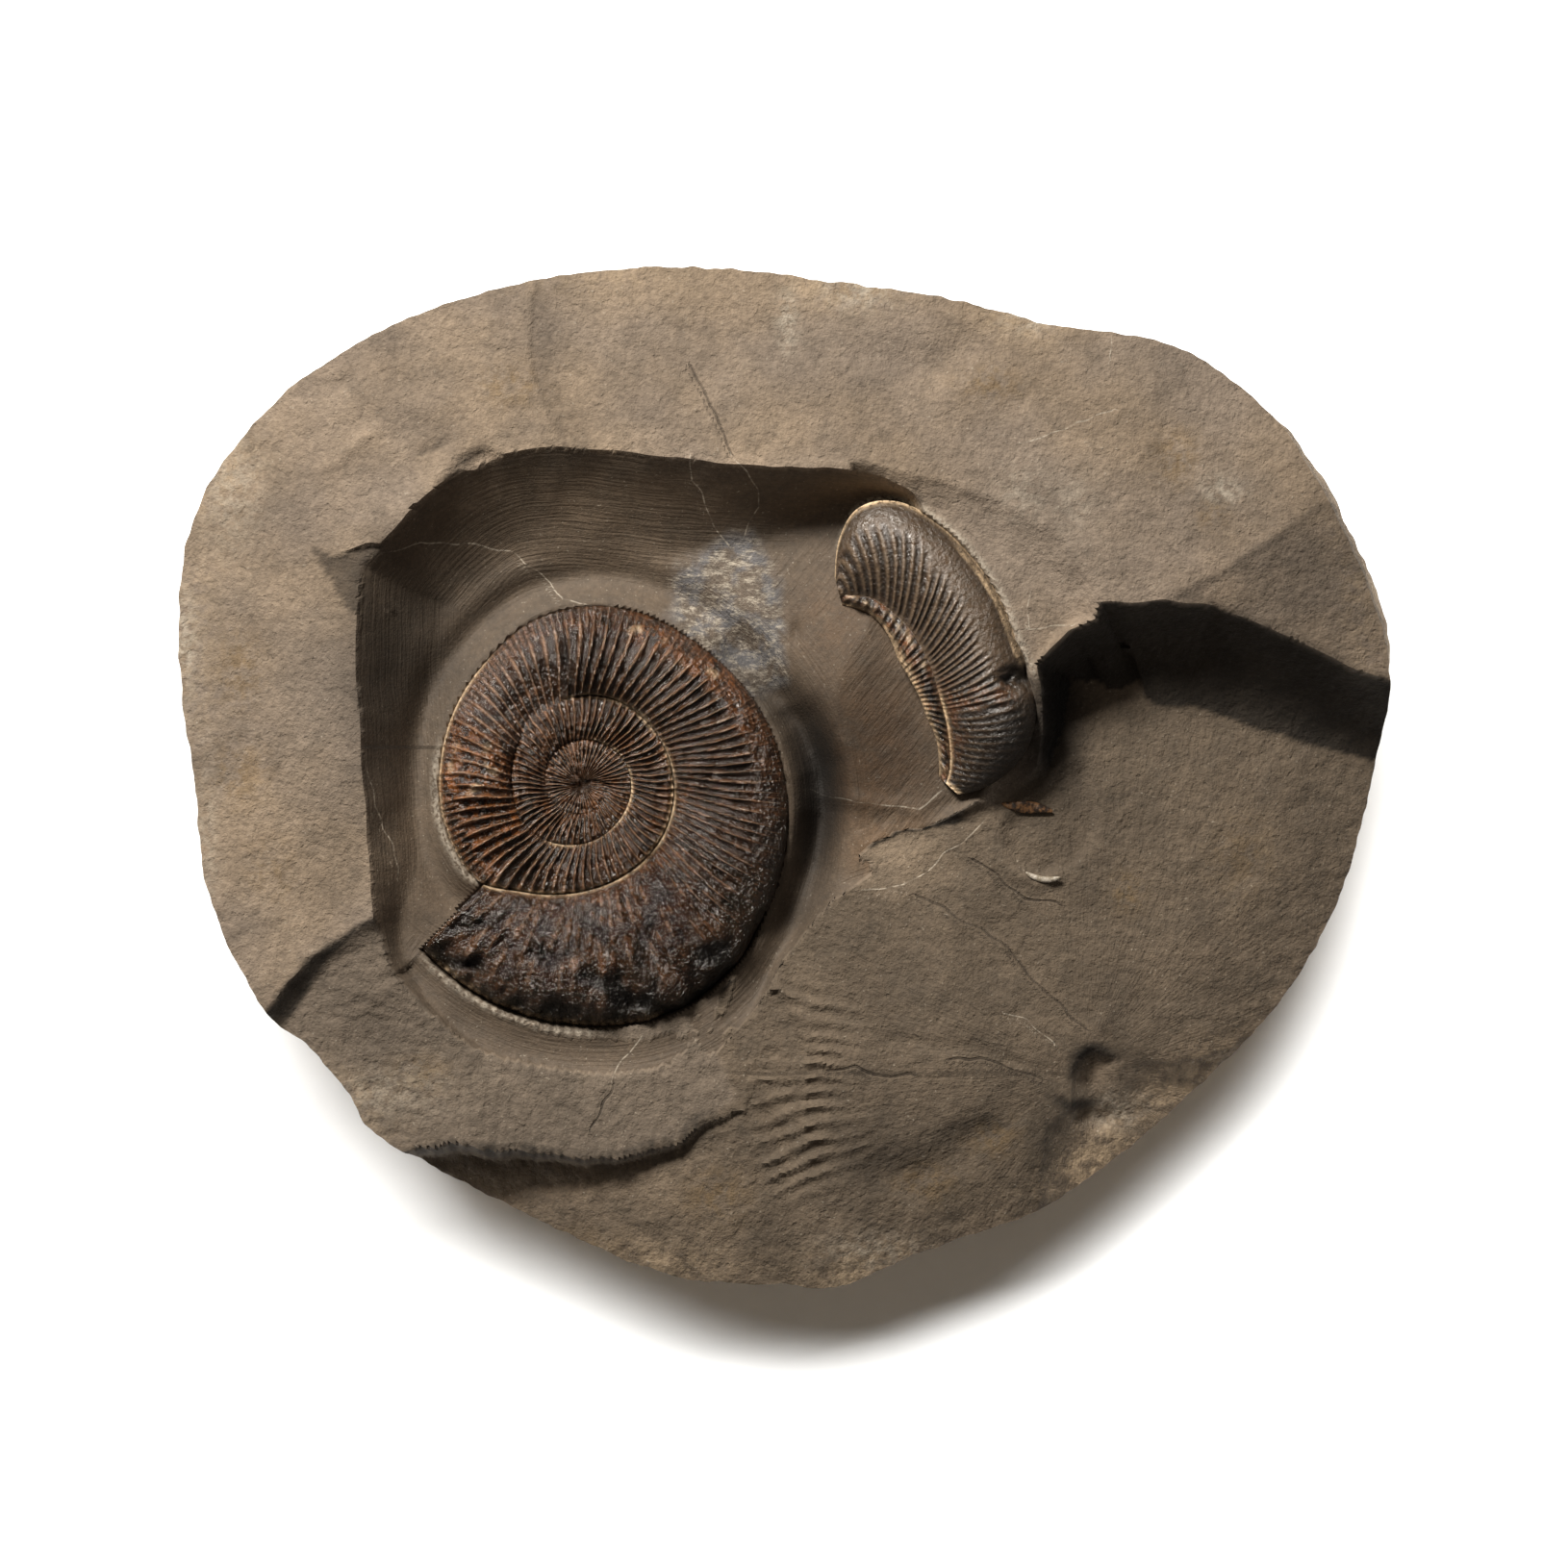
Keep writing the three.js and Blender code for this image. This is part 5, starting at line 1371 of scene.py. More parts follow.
@dataclass
class Nodule:
    """The stone: its split face as a relief, its side and its flat base."""

    relief: Relief
    cells: int = 280
    side_rings: int = 10
    base_rings: int = 3
    # While the rings are pulled, each vertex's height tells its ring, so the face waits high above them
    waits_at: float = 1000.0
    ring_step: float = 100.0
    middle_height: float = 40.0
    limit_x: tuple[float, float] = (-94.7, 94.7)
    limit_y: tuple[float, float] = (-79.9, 80.2)
    shade_fade: float = 3.0

    def build(self) -> bpy.types.Object:
        """Models the whole stone as one closed mesh."""
        made, column, row = grid_object("mudstone_nodule", self.cells, self.cells)
        u, v = column / self.cells * 2 - 1, row / self.cells * 2 - 1
        reach, angle = self.round_off(u, v)
        top = self.top_share(angle)
        radius = reach * top * self.ragged(angle)
        x, y = radius * np.cos(angle), radius * np.sin(angle)
        inner = reach < NEAR_EDGE
        snapped_x, snapped_y = self.relief.snapped(x, y, self.relief.plan.length / self.cells)
        x, y = np.where(inner, snapped_x, x), np.where(inner, snapped_y, y)
        surface = self.relief.surface(x, y)
        for name, values in surface.layers.items():
            write_layer(made, name, values)
        place_vertices(made, np.stack([x, y, surface.z + self.waits_at], axis=1))
        self.drop_sides(made)
        close_up(made, smooth_angle=42)
        return made

    def round_off(self, u: Array, v: Array) -> tuple[Array, Array]:
        """Turns a square grid into rings, with cells of even size.

        Args:
            u: place along the grid, from -1 to 1.
            v: place across the grid, from -1 to 1.

        Returns:
            The share of the radius and the angle.
        """
        wide = np.abs(u) >= np.abs(v)
        reach = np.where(wide, u, v)
        other = np.where(wide, v, u)
        ratio = np.divide(other, reach, out=np.zeros_like(other), where=reach != 0)
        angle = np.where(wide, ratio * math.pi / 4, math.pi / 2 - ratio * math.pi / 4)
        angle = np.where(reach < 0, angle + math.pi, angle)
        return np.abs(reach), (angle + math.pi) % (2 * math.pi) - math.pi

    def ragged(self, angle: Array) -> Array:
        """Radius of the outline, with the small chips of its edge taken off."""
        run = np.degrees(angle) * 1.5
        chips = 0.5 + 0.5 * noise_along(run, 5.5, 61) + 0.35 * noise_along(run, 2.1, 62)
        fuller = 0.9 * bump(angle, math.radians(25), math.radians(24))
        return self.relief.edge(angle) + 0.35 + fuller - 0.6 * np.clip(chips, 0, 1.4)

    def crust(self, angle: Array) -> Array:
        """Share of the radius by which the split face stops short of the side."""
        return 0.007 + 0.022 * bump(angle, math.radians(25), math.radians(14))

    def top_share(self, angle: Array) -> Array:
        """Share of the outline at which the split face ends: further out where it is low."""
        edge = self.relief.edge(angle) * 0.99
        x, y = edge * np.cos(angle), edge * np.sin(angle)
        z = self.relief.surface(x, y).z
        return 1 - self.crust(angle) * np.clip((z - 32) / 12, 0.1, 1)

    def drop_sides(self, made: bpy.types.Object) -> None:
        """Extrudes the edge down to the base, ring by ring, and closes it at a pole."""
        edit(made)
        bpy.ops.mesh.select_non_manifold()
        rings = self.side_rings + self.base_rings
        for _ in range(rings):
            bpy.ops.mesh.extrude_region_move(TRANSFORM_OT_translate={"value": (0, 0, -self.ring_step)})
        leave_editing()
        points = positions(made)
        drop = self.ring_numbers(points)
        self.shape_rings(made, points, drop)
        # Opening and closing it leaves nothing selected but the last ring, which shrinks to the pole
        edit(made)
        leave_editing()
        made.data.vertices.foreach_set("select", drop == rings)
        bpy.ops.object.mode_set(mode="EDIT")
        bpy.ops.mesh.merge(type="CENTER")
        leave_editing()

    def ring_numbers(self, points: Array) -> Array:
        """How many rings below the edge each vertex lies, 0 on the split face."""
        fallen = self.waits_at + self.middle_height - points[:, 2]
        return np.clip(np.rint(fallen / self.ring_step), 0, None).astype(int)

    def shape_rings(self, made: bpy.types.Object, points: Array, drop: Array) -> None:
        """Puts the extruded rings on the side and the base, and the split face at its height."""
        x, y, angle = points[:, 0], points[:, 1], np.arctan2(points[:, 1], points[:, 0])
        edge_z = points[:, 2] - self.waits_at + drop * self.ring_step
        fall = held(drop / self.side_rings)
        z = edge_z * (1 - fall)
        share = through(self.relief.plan.side)(z)
        bulge = self.crust(angle) * held((z - 32) / (np.maximum(edge_z, 33) - 32)) ** 2
        share = share - bulge * (edge_z > 32)
        run = angle * 85
        lumps = 0.6 * (fractal(run, z, 15, 71, 4) - 1) + 0.12 * (noise(run, z, 2.2, 72) - 1)
        softness = held(z / 4) * held(fall * 6)
        base = held((drop - self.side_rings) / self.base_rings)
        radius = (self.ragged(angle) * share + lumps * softness) * (1 - base * 0.98)
        on_side = drop > 0
        x = np.where(on_side, radius * np.cos(angle), x)
        y = np.where(on_side, radius * np.sin(angle), y)
        z = np.where(on_side, z, points[:, 2] - self.waits_at)
        x, y = np.clip(x, *self.limit_x), np.clip(y, *self.limit_y)
        place_vertices(made, np.stack([x, y, z], axis=1) * MM)
        # The painted light, shade and tone of the split face fade out down the side
        near_edge = held(1 - (edge_z - z) / self.shade_fade)
        change_layer(made, "rind", lambda rind: on_side * 1.0)
        change_layer(made, "painted_light_and_tone", lambda painted_light_and_tone: np.where(on_side, 1 + (painted_light_and_tone - 1) * near_edge, painted_light_and_tone))
        for name in ("worked", "broken", "speckle", "vein_near", "crack_near"):
            change_layer(made, name, lambda values: np.where(on_side, 0, values))


@dataclass
class WoundShell:
    """A shell tube given by its sections, from one end to the other."""

    name: str

    def wind(self, sections: Array, layers: dict[str, Array]) -> bpy.types.Object:
        """Makes the closed tube.

        Args:
            sections: points in millimetres, by row, place round the section, and axis.
            layers: a value for each of those points, by name.

        Returns:
            The new object.
        """
        first, last = sections[0].mean(axis=0), sections[-1].mean(axis=0)
        ends = [np.broadcast_to(end, sections[:1].shape) for end in (first, last)]
        rings = np.concatenate([ends[0], sections, ends[1]])
        rings = np.concatenate([rings, rings[:, :1]], axis=1)
        rows, columns = rings.shape[0] - 1, rings.shape[1] - 1
        made, column, row = grid_object(self.name, columns, rows)
        place_vertices(made, rings[row, column] * MM)
        for name, values in layers.items():
            padded = np.concatenate([values[:1], values, values[-1:]])
            padded = np.concatenate([padded, padded[:, :1]], axis=1)
            write_layer(made, name, padded[row, column])
        close_up(made, smooth_angle=60)
        return made


@dataclass
class LargeAmmonite(WoundShell):
    """The large shell, lying flat: three and a half whorls, the last one crushed near its mouth."""

    name: str = "large_ammonite_shell"
    rows_per_turn: int = 504
    top_spans: int = 30
    rib_height: float = 0.62
    ribs_per_degree: Path = (
        (0, 0.2), (60, 0.24), (100, 0.3), (130, 0.31), (170, 0.27), (200, 0.21), (280, 0.21),
        (310, 0.17), (350, 0.17), (400, 0.19), (500, 0.2), (700, 0.17), (1260, 0.12),
    )
    rib_strength: Path = (
        (0, 0.35), (40, 0.3), (70, 0.5), (100, 0.8), (150, 0.8), (190, 0.9), (226, 1.15),
        (233, 0.5), (280, 0.45), (300, 1.0), (330, 1.4), (356, 1.2), (420, 1.3), (520, 1.25),
        (716, 1.3), (900, 1.2), (1260, 0.6),
    )

    def build(self) -> bpy.types.Object:
        """Models the shell."""
        count = round(self.rows_per_turn * COIL.turns)
        turned = np.arange(count + 1) * 360 / self.rows_per_turn
        steps = np.arange(self.top_spans + 1) / self.top_spans
        across = (1 - np.cos(math.pi * steps)) / 2 * 0.7 + steps * 0.3
        t, a = np.meshgrid(turned, across, indexing="ij")
        top, layers = self.upper(t, a)
        under = self.lower(turned)
        sections = np.concatenate([top, under], axis=1)
        filler = np.zeros(under.shape[:2])
        padded = {name: np.concatenate([values, filler], axis=1) for name, values in layers.items()}
        return self.wind(sections, padded)

    def seam(self, turned: Array) -> tuple[Array, Array]:
        """Radius and height of the line where a whorl meets the one inside it."""
        inner = turned + 360
        radius = COIL.radius(inner)
        height = COIL.seam_share * COIL.half_thickness_share * radius
        ends = rise(COIL.turns * 360 - 60, COIL.turns * 360, inner)
        return radius * (1 - ends), height * (1 - ends) + 0.4 * ends

    def phase(self, turned: Array) -> Array:
        """Ribs counted from the mouth."""
        fine = np.linspace(0, 1300, 2601)
        counts = np.cumsum(through(self.ribs_per_degree)(fine)) * (fine[1] - fine[0])
        return np.interp(turned, fine, counts)

    def place(self, turned: Array, radius: Array, height: Array) -> Array:
        """Points from degrees unwound, radius and height above the midplane."""
        return around(COIL.centre, COIL.mouth_angle + turned, radius, COIL.midplane + height)

    def upper(self, t: Array, a: Array) -> tuple[Array, dict[str, Array]]:
        """The shell's upper side.

        Args:
            t: degrees unwound from the mouth.
            a: share of the way from the inner seam to the outer edge.

        Returns:
            The points, and the values that the finish reads.
        """
        outer = COIL.radius(t)
        inner, seam_height = self.seam(t)
        wide = outer - inner
        free = fading(COIL.seam_from - 2, COIL.seam_from + 2, t)
        half = COIL.half_thickness_share * outer
        outer_height = -0.4 * free + COIL.seam_share * half * (1 - free)
        base = seam_height + (outer_height - seam_height) * a
        crest = half - (seam_height + outer_height) / 2
        arch = np.sqrt(held(1 - (2 * a - 1) ** 2))
        arc = np.radians(t) * outer * 0.75
        rib, ribbing = self.ribs(t, a, outer)
        height = base + crest * arch + ribbing * arch**0.5
        height = height + self.damage(t, a, arc, wide) * np.minimum(1, arch * 2)
        radius = inner + wide * a + self.edge_wave(t, a, arc)
        points = self.place(t, radius, height)
        return points, self.shades(t, a, wide, rib, arc)

    def ribs(self, t: Array, a: Array, outer: Array) -> tuple[Array, Array]:
        """Rib profile from -1 to 1, and its height."""
        lean = 3.5 * a + 2.0 * np.sin(math.pi * a)
        wander = 0.9 * noise(t, a * 9, 9, 81)
        phase = self.phase(t + lean + wander)
        single = 2 * (0.5 + 0.5 * np.cos(2 * math.pi * phase)) ** 2.3 - 1
        double = np.cos(4 * math.pi * phase)
        forked = rise(0.68, 0.82, a) * (t < 360)
        rib = single * (1 - forked) + 0.6 * double * forked
        strength = through(self.rib_strength)(t) * np.minimum(1, outer / 26)
        patchy = 0.8 + 0.45 * noise(t, a * 14, 16, 82) + 0.35 * noise(t, a * 22, 3.1, 80)
        fade = 1 - 0.65 * between(70, 205, t, 12) * rise(0.62, 0.85, a)
        fade = fade * (1 - 0.5 * between(205, 290, t, 8) * rise(0.8, 0.95, a))
        return rib, rib * self.rib_height * strength * patchy * fade

    def edge_wave(self, t: Array, a: Array, arc: Array) -> Array:
        """How far the free outer edge is chipped in."""
        ragged = -0.35 * (1 + noise_along(arc, 2.4, 83)) * (t < 100)
        return ragged * rise(0.9, 1, a)

    def damage(self, t: Array, a: Array, arc: Array, wide: Array) -> Array:
        """Height lost to crushing, breaks and rough patches."""
        out = a * wide
        crushed = fading(78, 108, t)
        low = rise(0.3, 0.6, a)
        folds = 1.0 - 2.2 * np.abs(noise(arc, out * 0.35, 5.2, 84)) * (0.35 + 0.65 * low)
        creases = 0.55 - 1.3 * np.abs(noise(arc + 0.5 * out, out * 0.6, 2.3, 85))
        pits = -1.2 * rise(0.15, 0.6, noise(arc, out, 4.2, 86)) * low
        height = crushed * (0.9 * folds + (0.4 + 0.6 * low) * creases + pits + 0.3 * noise(arc, out, 1.2, 87))
        rough = 0.12 + 0.16 * between(90, 205, t, 10) * rise(0.5, 0.75, a)
        rough = rough + 0.22 * between(286, 322, t, 6) + 0.08 * between(232, 290, t, 6)
        rough = rough + 0.2 * rise(350, 400, t) + 0.25 * rise(540, 640, t)
        small = noise(arc, out, 1.1, 88) + 0.6 * noise(arc, out, 0.55, 89)
        height = height + rough * small * np.minimum(1, wide / 8)
        sunk = rise(229.5, 231.5, t) * fading(262, 290, t)
        height = height - 1.3 * sunk - 1.5 * sunk * fading(0.3, 0.6, a) * rise(233, 240, t)
        cleft = -1.6 * bump(t, 230, 1.6) * fading(0.55, 0.9, a)
        wedge = -0.9 * bump(t - 12 * a, 62, 1.4) - 0.7 * bump(t + 14 * a, 108, 1.2)
        return height + cleft + wedge * rise(0.1, 0.3, a)

    def shades(self, t: Array, a: Array, wide: Array, rib: Array, arc: Array) -> dict[str, Array]:
        """Values that the finish reads: rib, rust, grey and crust."""
        from_seam = a * wide
        from_edge = (1 - a) * wide
        outer_seam = rise(COIL.seam_from - 6, COIL.seam_from + 4, t)
        breaks = held(0.6 + 0.9 * noise_along(arc, 4.5, 91) + 0.4 * noise_along(arc, 1.3, 94))
        inner_coils = np.maximum(1 - rise(225, 240, t), 0.8 * between(375, 570, t, 15))
        crust = bump(from_seam, 0, 0.34) * breaks * inner_coils
        outer_line = bump(from_edge, 0, 0.34) * outer_seam * breaks * fading(540, 600, t)
        crust = np.maximum(crust, outer_line)
        crust = crust * (1 - 0.8 * between(236, 300, t % 360, 8))
        left_edge = bump(from_edge, 0, 0.35) * between(262, 352, t, 6)
        low_edge = bump(from_edge, 0, 0.9) * between(4, 62, t, 4) * (0.4 + 0.6 * (rib > 0))
        patches = rise(0.35, 0.7, noise(arc, from_seam, 2.6, 92))
        crust = np.maximum(crust, np.maximum(left_edge * 0.9, low_edge))
        crust = np.maximum(crust, 0.5 * patches * between(168, 206, t, 6) * rise(0.6, 0.9, a))
        crust = np.maximum(crust, 0.35 * patches * between(292, 320, t, 5))
        rust = 0.08 + 0.45 * between(290, 356, t, 12) + 0.08 * rise(350, 420, t)
        rust = rust + 0.25 * between(150, 212, t, 12) * rise(0.6, 0.8, a)
        rust = rust * (0.65 + 0.5 * noise(arc, from_seam, 4, 93))
        grey = 0.75 * between(233, 285, t, 5) * rise(0.35, 0.6, a) + 0.15 * between(5, 60, t, 12)
        # Painted shade in the cleft, in the crushed pits and on the outer part of the crushed last whorl
        painted_shade_and_dark = 0.9 * bump(t, 230, 1.8) * fading(0.5, 0.85, a)
        shaded_pits = rise(-0.05, 0.4, noise(arc, from_seam, 4.2, 86))
        painted_shade_and_dark = painted_shade_and_dark + 0.85 * fading(80, 120, t) * shaded_pits
        painted_shade_and_dark = painted_shade_and_dark + 0.5 * between(20, 130, t, 20) * rise(0.55, 0.95, a)
        painted_shade_and_dark = painted_shade_and_dark * rise(0.05, 0.2, a)
        crushed = fading(90, 150, t)
        layers = {"rust": rust, "grey": grey, "crust": crust, "painted_shade_and_dark": painted_shade_and_dark, "crushed": crushed}
        layers = {name: held(values) for name, values in layers.items()}
        flat = between(2, 95, t, 20) * 0.6
        return layers | {"rib": rib * (1 - flat), "along": arc, "outward": from_seam}

    def lower(self, turned: Array) -> Array:
        """The buried underside, from the outer edge back to the inner one."""
        outer = COIL.radius(turned)
        inner, seam_height = self.seam(turned)
        free = fading(COIL.seam_from - 2, COIL.seam_from + 2, turned)
        wide = outer - inner
        depth = -1.0 * free + (1 - free) * (-1.4)
        rows = []
        for share, down in ((0.985, 0.0), (0.9, -1.1), (0.65, -2.0), (0.35, -2.0), (0.1, -1.2)):
            rows.append(self.place(turned, inner + wide * share, depth + down))
        rows.append(self.place(turned, inner + wide * 0.01, np.minimum(seam_height - 0.8, 0)))
        return np.stack(rows, axis=1)


@dataclass
class SmallAmmonite(WoundShell):
    """The small shell: a bent length of whorl that leans out of the rock, over an inner whorl."""

    name: str = "small_ammonite_shell"
    rows: int = 560
    ribs: float = 0.28
    rib_height: float = 0.24
    profile: Path = (
        (0, 0), (0.1, 0.34), (0.2, 0.57), (0.32, 0.8), (0.45, 0.95), (0.6, 1.01), (0.7, 0.98),
        (0.8, 0.88), (0.9, 0.69), (1, 0.35),
    )

    def build(self) -> bpy.types.Object:
        """Models the shell."""
        angle = np.linspace(*ARC.angles, self.rows + 1)
        inner, inner_layers = self.inner_whorl(angle)
        outer, outer_layers = self.outer_whorl(angle)
        under = self.lower(angle)
        sections = np.concatenate([inner, outer, under], axis=1)
        filler = np.zeros(under.shape[:2])
        layers = {}
        for name in outer_layers:
            layers[name] = np.concatenate([inner_layers[name], outer_layers[name], filler], axis=1)
        return self.wind(sections, layers)

    def ends(self, angle: Array) -> Array:
        """1 along the shell and 0 at its two ends."""
        low, high = ARC.angles
        return rise(low, low + 7, angle) * fading(high - 9, high, angle)

    def outer_whorl(self, angle: Array) -> tuple[Array, dict[str, Array]]:
        """The ribbed flank and the smooth outer band."""
        steps = np.linspace(0, 1, 29)
        t, a = np.meshgrid(angle, steps, indexing="ij")
        seam, outer = through(ARC.seam)(t), through(ARC.outer)(t)
        wide = outer - seam
        lift = through(self.profile)(a)
        arc = np.radians(t) * 20
        phase = (t - 9 * a**1.5 + 1.1 * noise(t, a * 6, 7, 101)) * self.ribs
        rib = 2 * (0.5 + 0.5 * np.cos(2 * math.pi * phase)) ** 1.3 - 1
        reach = 0.6 + 0.32 * fading(-8, 22, t) + 0.14 * rise(55, 85, t)
        reach = reach + 0.1 * noise_along(arc, 2.5, 100)
        fade = rise(0, 0.06, a) * fading(reach - 0.12, reach + 0.05, a)
        uneven = 0.85 + 0.35 * noise(t, a * 10, 6, 107) + 0.3 * noise(t, a * 20, 2.2, 108)
        ribbing = rib * uneven * self.rib_height * fade * (1 - 0.8 * fading(-10, 22, t))
        broken = bump(t, 14, 4.5) * rise(0.55, 0.8, a)
        cracked = between(2, 14, t, 2.5) * rise(0.1, 0.3, a) * fading(0.7, 0.85, a)
        rough = 0.08 * noise(arc, a * wide, 2.3, 102) + 0.5 * cracked * noise(arc, a * wide * 0.4, 1.6, 103)
        rough = rough - 2.2 * broken * (1 + 0.4 * noise(arc, a * wide, 1.1, 105))
        crest = ARC.crest_share * (1 - 0.3 * fading(-43, -10, t)) * (0.5 + 0.5 * self.ends(t))
        height = np.minimum(ARC.level(t) + wide * crest * lift + ribbing + rough, StonePlan.rim_height - 0.03)
        points = around(ARC.centre, t, seam + wide * a, height)
        from_seam, from_edge = a * wide, (1 - a) * wide
        crust = bump(from_edge, 0, 0.4) * (0.8 + 0.5 * noise_along(arc, 3, 104)) * rise(8, 20, t)
        wandering = 0.3 * noise_along(arc, 3, 106)
        second_line = bump(from_edge - wandering, 1.1, 0.18) * between(18, 62, t, 6)
        crust = np.maximum(crust, second_line * 0.6)
        crust = np.maximum(crust, bump(from_seam, 0, 0.3) * 0.7 * fading(5, 25, t))
        crust = np.maximum(crust, 0.7 * fading(0, 3, t - ARC.angles[0]))
        crust = crust * (1 - held(1.4 * broken))
        rust = 0.02 + 0.2 * fading(0.05, 0.3, a) * fading(0, 40, t) + 0.2 * cracked
        grey = 0.75 * rise(8, 30, t) * fading(0.45, 0.8, a) + 0.15
        # Painted shade in the broken pit, and on the lower end and outer edge that turn from the light
        painted_shade_and_dark = np.clip(1.4 * broken * (0.8 + 0.5 * noise(arc, a * wide, 1.1, 105)), 0, 0.95)
        turned_away_shade = (0.35 + 0.5 * rise(0.3, 0.8, a)) * fading(-8, 20, t)
        turned_away_shade = np.maximum(turned_away_shade, 0.45 * rise(0.75, 0.95, a))
        painted_shade_and_dark = np.maximum(painted_shade_and_dark, turned_away_shade)
        rib_mask = rib * fade + (1 - fade) * 0.6
        return points, {"rib": rib_mask, "rust": rust, "grey": grey, "crust": crust, "painted_shade_and_dark": painted_shade_and_dark}

    def inner_whorl(self, angle: Array) -> tuple[Array, dict[str, Array]]:
        """The rusty inner whorl between the border and the seam."""
        steps = np.linspace(0, 0.94, 9)
        t, a = np.meshgrid(angle, steps, indexing="ij")
        border, seam = through(ARC.border)(t), through(ARC.seam)(t)
        arch = np.sin(math.pi * held(a * 0.95 + 0.05))
        rib = np.cos(2 * math.pi * (t + 4 * a) * 0.2)
        arc = np.radians(t) * 10
        rough = 0.25 * noise(arc, a * 4, 0.9, 111) + 0.3 * noise(arc, a * 4, 2.3, 110)
        height = ARC.level(t) - 1.4 * (1 - a) + 1.5 * arch * self.ends(t) + (rib * 0.28 + rough) * arch
        points = around(ARC.centre, t, border + (seam - border) * a, height)
        crust = 0.5 * bump(a * 3, 0, 0.6) + 0.25 * rise(0.2, 0.7, noise(arc, a * 4, 1.2, 112))
        rust = held(0.15 + 0.4 * noise(arc, a * 4, 2, 113))
        # Dark patches of the inner whorl, kept with the painted shade
        painted_shade_and_dark = held(0.9 * rise(0.1, 0.5, noise(arc, a * 4, 1.7, 114)))
        return points, {"rib": rib, "rust": rust, "grey": rust * 0, "crust": held(crust), "painted_shade_and_dark": painted_shade_and_dark}

    def lower(self, angle: Array) -> Array:
        """The buried underside, from the outer edge back to the inner border."""
        border, seam, outer = (through(curve)(angle) for curve in (ARC.border, ARC.seam, ARC.outer))
        wide, level = outer - seam, ARC.level(angle)
        rows = (
            (outer - 0.6, level - wide * 0.25),
            (outer - 2.2, level - wide * 0.4),
            (seam + wide * 0.55, level - wide * 0.48),
            (seam + wide * 0.1, level - wide * 0.4),
            (border + 0.5, level - wide * 0.3 - 1.5),
        )
        return np.stack([around(ARC.centre, angle, radius, height) for radius, height in rows], axis=1)


@dataclass
class Flakes:
    """The two loose flakes of shell in the print beside the break."""

    relief: Relief
    half_thickness: float = 0.38
    splinter_at: tuple[float, float] = (38.0, -4.4)
    splinter_length: float = 8.2
    splinter_width: float = 1.9
    splinter_turn: float = -9.0
    crescent_at: tuple[float, float] = (41.2, -10.2)
    crescent_radius: float = 5.5
    crescent_width: float = 1.0
    crescent_angles: tuple[float, float] = (232.0, 292.0)
    crescent_raise: float = 0.9

    def floor(self, at: tuple[float, float]) -> float:
        """Height of the print's floor at a flake."""
        x, y = np.array([at[0]]), np.array([at[1]])
        return float(self.relief.fracture(x, y)[0]) - self.relief.plan.imprint_depth

    def lens(self, name: str, columns: int, rows: int) -> tuple[bpy.types.Object, Array, Array, Array]:
        """A closed flat lens to bend, with each vertex's place along, across and up."""
        deselect_all()
        lying = (0, math.pi / 2, 0)
        bpy.ops.mesh.primitive_uv_sphere_add(segments=columns, ring_count=rows, radius=1, rotation=lying)
        made = bpy.context.active_object
        made.name = name
        bpy.ops.object.transform_apply(location=False, rotation=True, scale=False)
        flat = positions(made)
        return made, flat[:, 0], flat[:, 1], flat[:, 2]

    def splinter(self) -> bpy.types.Object:
        """A pointed splinter, split along its length."""
        made, along, across, up = self.lens("shell_splinter_flake", 20, 28)
        taper = 1 - 0.35 * along**2
        x = along * self.splinter_length / 2
        y = across * self.splinter_width / 2 * taper + 0.15 * np.sin(along * 3)
        split = 0.12 * np.sin(along * 5 + across * 2) * (up > 0) * (1 - across**2)
        z = up * self.half_thickness + split
        turn = math.radians(self.splinter_turn)
        px = self.splinter_at[0] + x * math.cos(turn) - y * math.sin(turn)
        py = self.splinter_at[1] + x * math.sin(turn) + y * math.cos(turn)
        ground = self.relief.surface(px, py).z
        lying = ground * 0.5 + float(ground.mean()) * 0.5 + 0.3
        pz = lying + np.clip(z, -self.half_thickness, self.half_thickness + 0.01)
        place_vertices(made, np.stack([px, py, pz], axis=1) * MM)
        close_up(made, smooth_angle=50)
        return made

    def crescent(self) -> bpy.types.Object:
        """A pale bent sliver of rib."""
        made, along, across, up = self.lens("shell_crescent_flake", 16, 30)
        low, high = (math.radians(angle) for angle in self.crescent_angles)
        angle = (low + high) / 2 + along * (high - low) / 2
        radius = self.crescent_radius + across * self.crescent_width / 2
        px = self.crescent_at[0] + radius * np.cos(angle)
        py = self.crescent_at[1] + radius * np.sin(angle)
        pz = self.floor(self.crescent_at) + self.crescent_raise + up * self.half_thickness
        place_vertices(made, np.stack([px, py, pz], axis=1) * MM)
        close_up(made, smooth_angle=60)
        return made


@dataclass(frozen=True)
class Softbox:
    """A lamp aimed at the stone. Angles in degrees, lengths in metres, power in watts.

    The azimuth runs counterclockwise from +X. A softbox is square unless its depth is given.
    """

    name: str
    azimuth: float
    elevation: float
    away: float
    size: float
    power: float
    colour: tuple[float, float, float] = (1.0, 1.0, 1.0)
    depth: float | None = None

    def build(self, aim_height: float) -> bpy.types.Object:
        """Makes the lamp, aimed at a height above the middle of the base."""
        data = bpy.data.lights.new(self.name, "AREA")
        data.size = self.size
        data.energy = self.power
        data.color = self.colour
        if self.depth is not None:
            data.shape = "RECTANGLE"
            data.size_y = self.depth
        made = bpy.data.objects.new(self.name, data)
        a, e = math.radians(self.azimuth), math.radians(self.elevation)
        toward = Vector((math.cos(e) * math.cos(a), math.cos(e) * math.sin(a), math.sin(e)))
        made.location = toward * self.away + Vector((0, 0, aim_height))
        made.rotation_euler = toward.to_track_quat("Z", "Y").to_euler()
        bpy.context.collection.objects.link(made)
        return made


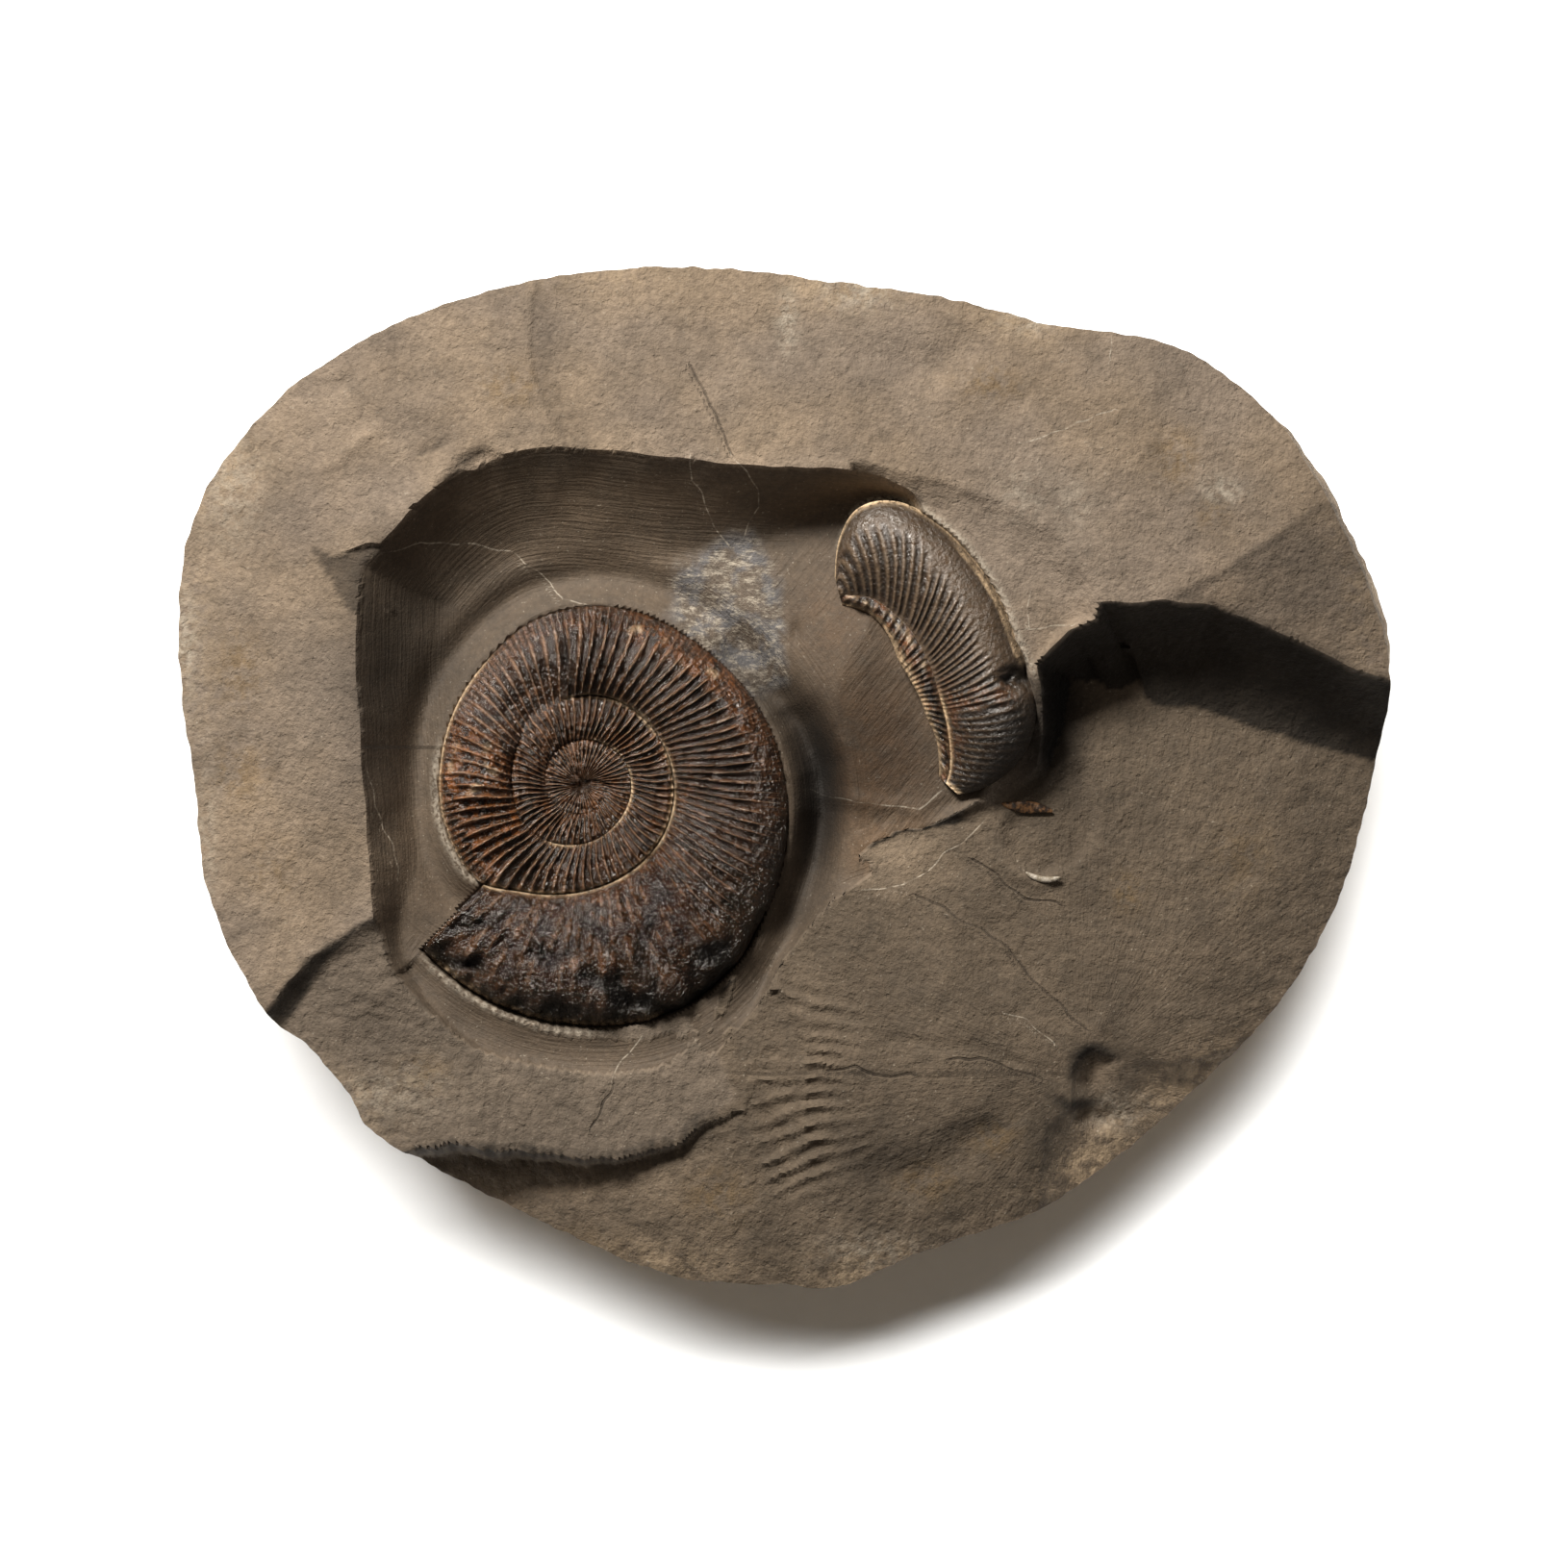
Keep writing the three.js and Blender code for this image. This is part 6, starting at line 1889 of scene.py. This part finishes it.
@dataclass
class Studio:
    """Floor, lights and camera."""

    frame_width: float = 244.5 * MM
    frame_height_at: float = 41 * MM
    frame_middle_y: float = -0.75 * MM
    lens: float = 200.0
    sensor: float = 36.0
    board_size: float = 8.0
    board_height: float = -0.2 * MM
    aim_height: float = 40 * MM
    key: Softbox = Softbox("key_softbox", 116, 42, away=0.9, size=0.2, power=12.8, colour=(1.0, 0.95, 0.88))
    over_board: Softbox = Softbox("floor_softbox", 103, 62, away=2.5, size=2.0, power=220, depth=0.9)
    sheen: Softbox = Softbox("shell_softbox", 126, 48, away=0.9, size=0.3, power=14, colour=(1.0, 0.93, 0.84))
    fill_colour: tuple[float, float, float, float] = (1, 0.9, 0.79, 1)
    fill_strength: float = 0.11

    def build(self) -> None:
        """Makes everything that isn't the object."""
        self.camera()
        floor = self.floor()
        self.lights(floor)

    def camera(self) -> None:
        """A camera that looks straight down, as the photograph does."""
        data = bpy.data.cameras.new("camera")
        data.lens = self.lens
        data.sensor_width = self.sensor
        away = self.frame_width * self.lens / self.sensor
        made = bpy.data.objects.new("camera", data)
        made.location = (0, self.frame_middle_y, self.frame_height_at + away)
        bpy.context.collection.objects.link(made)
        bpy.context.scene.camera = made

    def floor(self) -> bpy.types.Object:
        """A wide board under the stone."""
        deselect_all()
        bpy.ops.mesh.primitive_plane_add(size=self.board_size, location=(0, 0, self.board_height))
        made = bpy.context.active_object
        made.name = "studio_floor"
        dress(made, PaintedFloor().build())
        made.visible_glossy = False
        return made

    def lights(self, floor: bpy.types.Object) -> None:
        """A key light for the stone, one for the board alone, and the fill."""
        key = self.key.build(self.aim_height)
        board = self.over_board.build(self.aim_height)
        group = bpy.data.collections.new("lit_floor")
        group.objects.link(floor)
        board.light_linking.receiver_collection = group
        others = bpy.data.collections.new("lit_object")
        others.objects.link(floor)
        key.light_linking.receiver_collection = others
        others.collection_objects[0].light_linking.link_state = "EXCLUDE"
        self.background()

    def light_shells(self, shells: list[bpy.types.Object]) -> None:
        """A warm softbox that lights only the shells, to bring out their gloss."""
        sheen = self.sheen.build(self.aim_height)
        group = bpy.data.collections.new("lit_shells")
        for shell in shells:
            group.objects.link(shell)
        sheen.light_linking.receiver_collection = group

    def background(self) -> None:
        """A faint even fill."""
        world = bpy.data.worlds.new("studio")
        world.use_nodes = True
        shader = world.node_tree.nodes["Background"]
        shader.inputs["Color"].default_value = self.fill_colour
        shader.inputs["Strength"].default_value = self.fill_strength
        bpy.context.scene.world = world
        bpy.context.scene.view_settings.view_transform = "Standard"


def join_frame(made: bpy.types.Object, material: bpy.types.Material, node: str) -> None:
    """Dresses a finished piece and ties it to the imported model.

    Args:
        made: the piece.
        material: its material.
        node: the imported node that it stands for.
    """
    dress(made, material)
    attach(made, "root")
    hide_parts(node)
    made.data.calc_loop_triangles()
    LOG.info("%s: %d triangles, stands for %s", made.name, len(made.data.loop_triangles), node)


def main() -> None:
    """Builds the studio and every piece in order."""
    logging.basicConfig(level=logging.INFO, format="%(message)s")
    studio = Studio()
    studio.build()
    relief = Relief(StonePlan())
    join_frame(Nodule(relief).build(), SplitMudstone().build(), "matrix_nodule")
    large, small = LargeAmmonite().build(), SmallAmmonite().build()
    join_frame(large, VarnishedShell().build(), "large_ammonite")
    small_finish = VarnishedShell(
        "varnished_smooth_shell", dark="#150f0a", brown="#2a2018", grey="#463a2e", crest_highlight="#5a4b3b",
        gloss=0.42, crumple=0.26, groove_shade=0.85,
    )
    join_frame(small, small_finish.build(), "small_ammonite")
    studio.light_shells([large, small])
    flakes = Flakes(relief)
    splinter_finish = ShellFlake("amber_shell_flake", "#84603f", "#2c2017")
    join_frame(flakes.splinter(), splinter_finish.build(), "shell_splinter")
    crescent_finish = ShellFlake("pale_shell_flake", "#b9b0a2", "#8f8472")
    join_frame(flakes.crescent(), crescent_finish.build(), "shell_crescent")


if __name__ == "__main__":
    main()
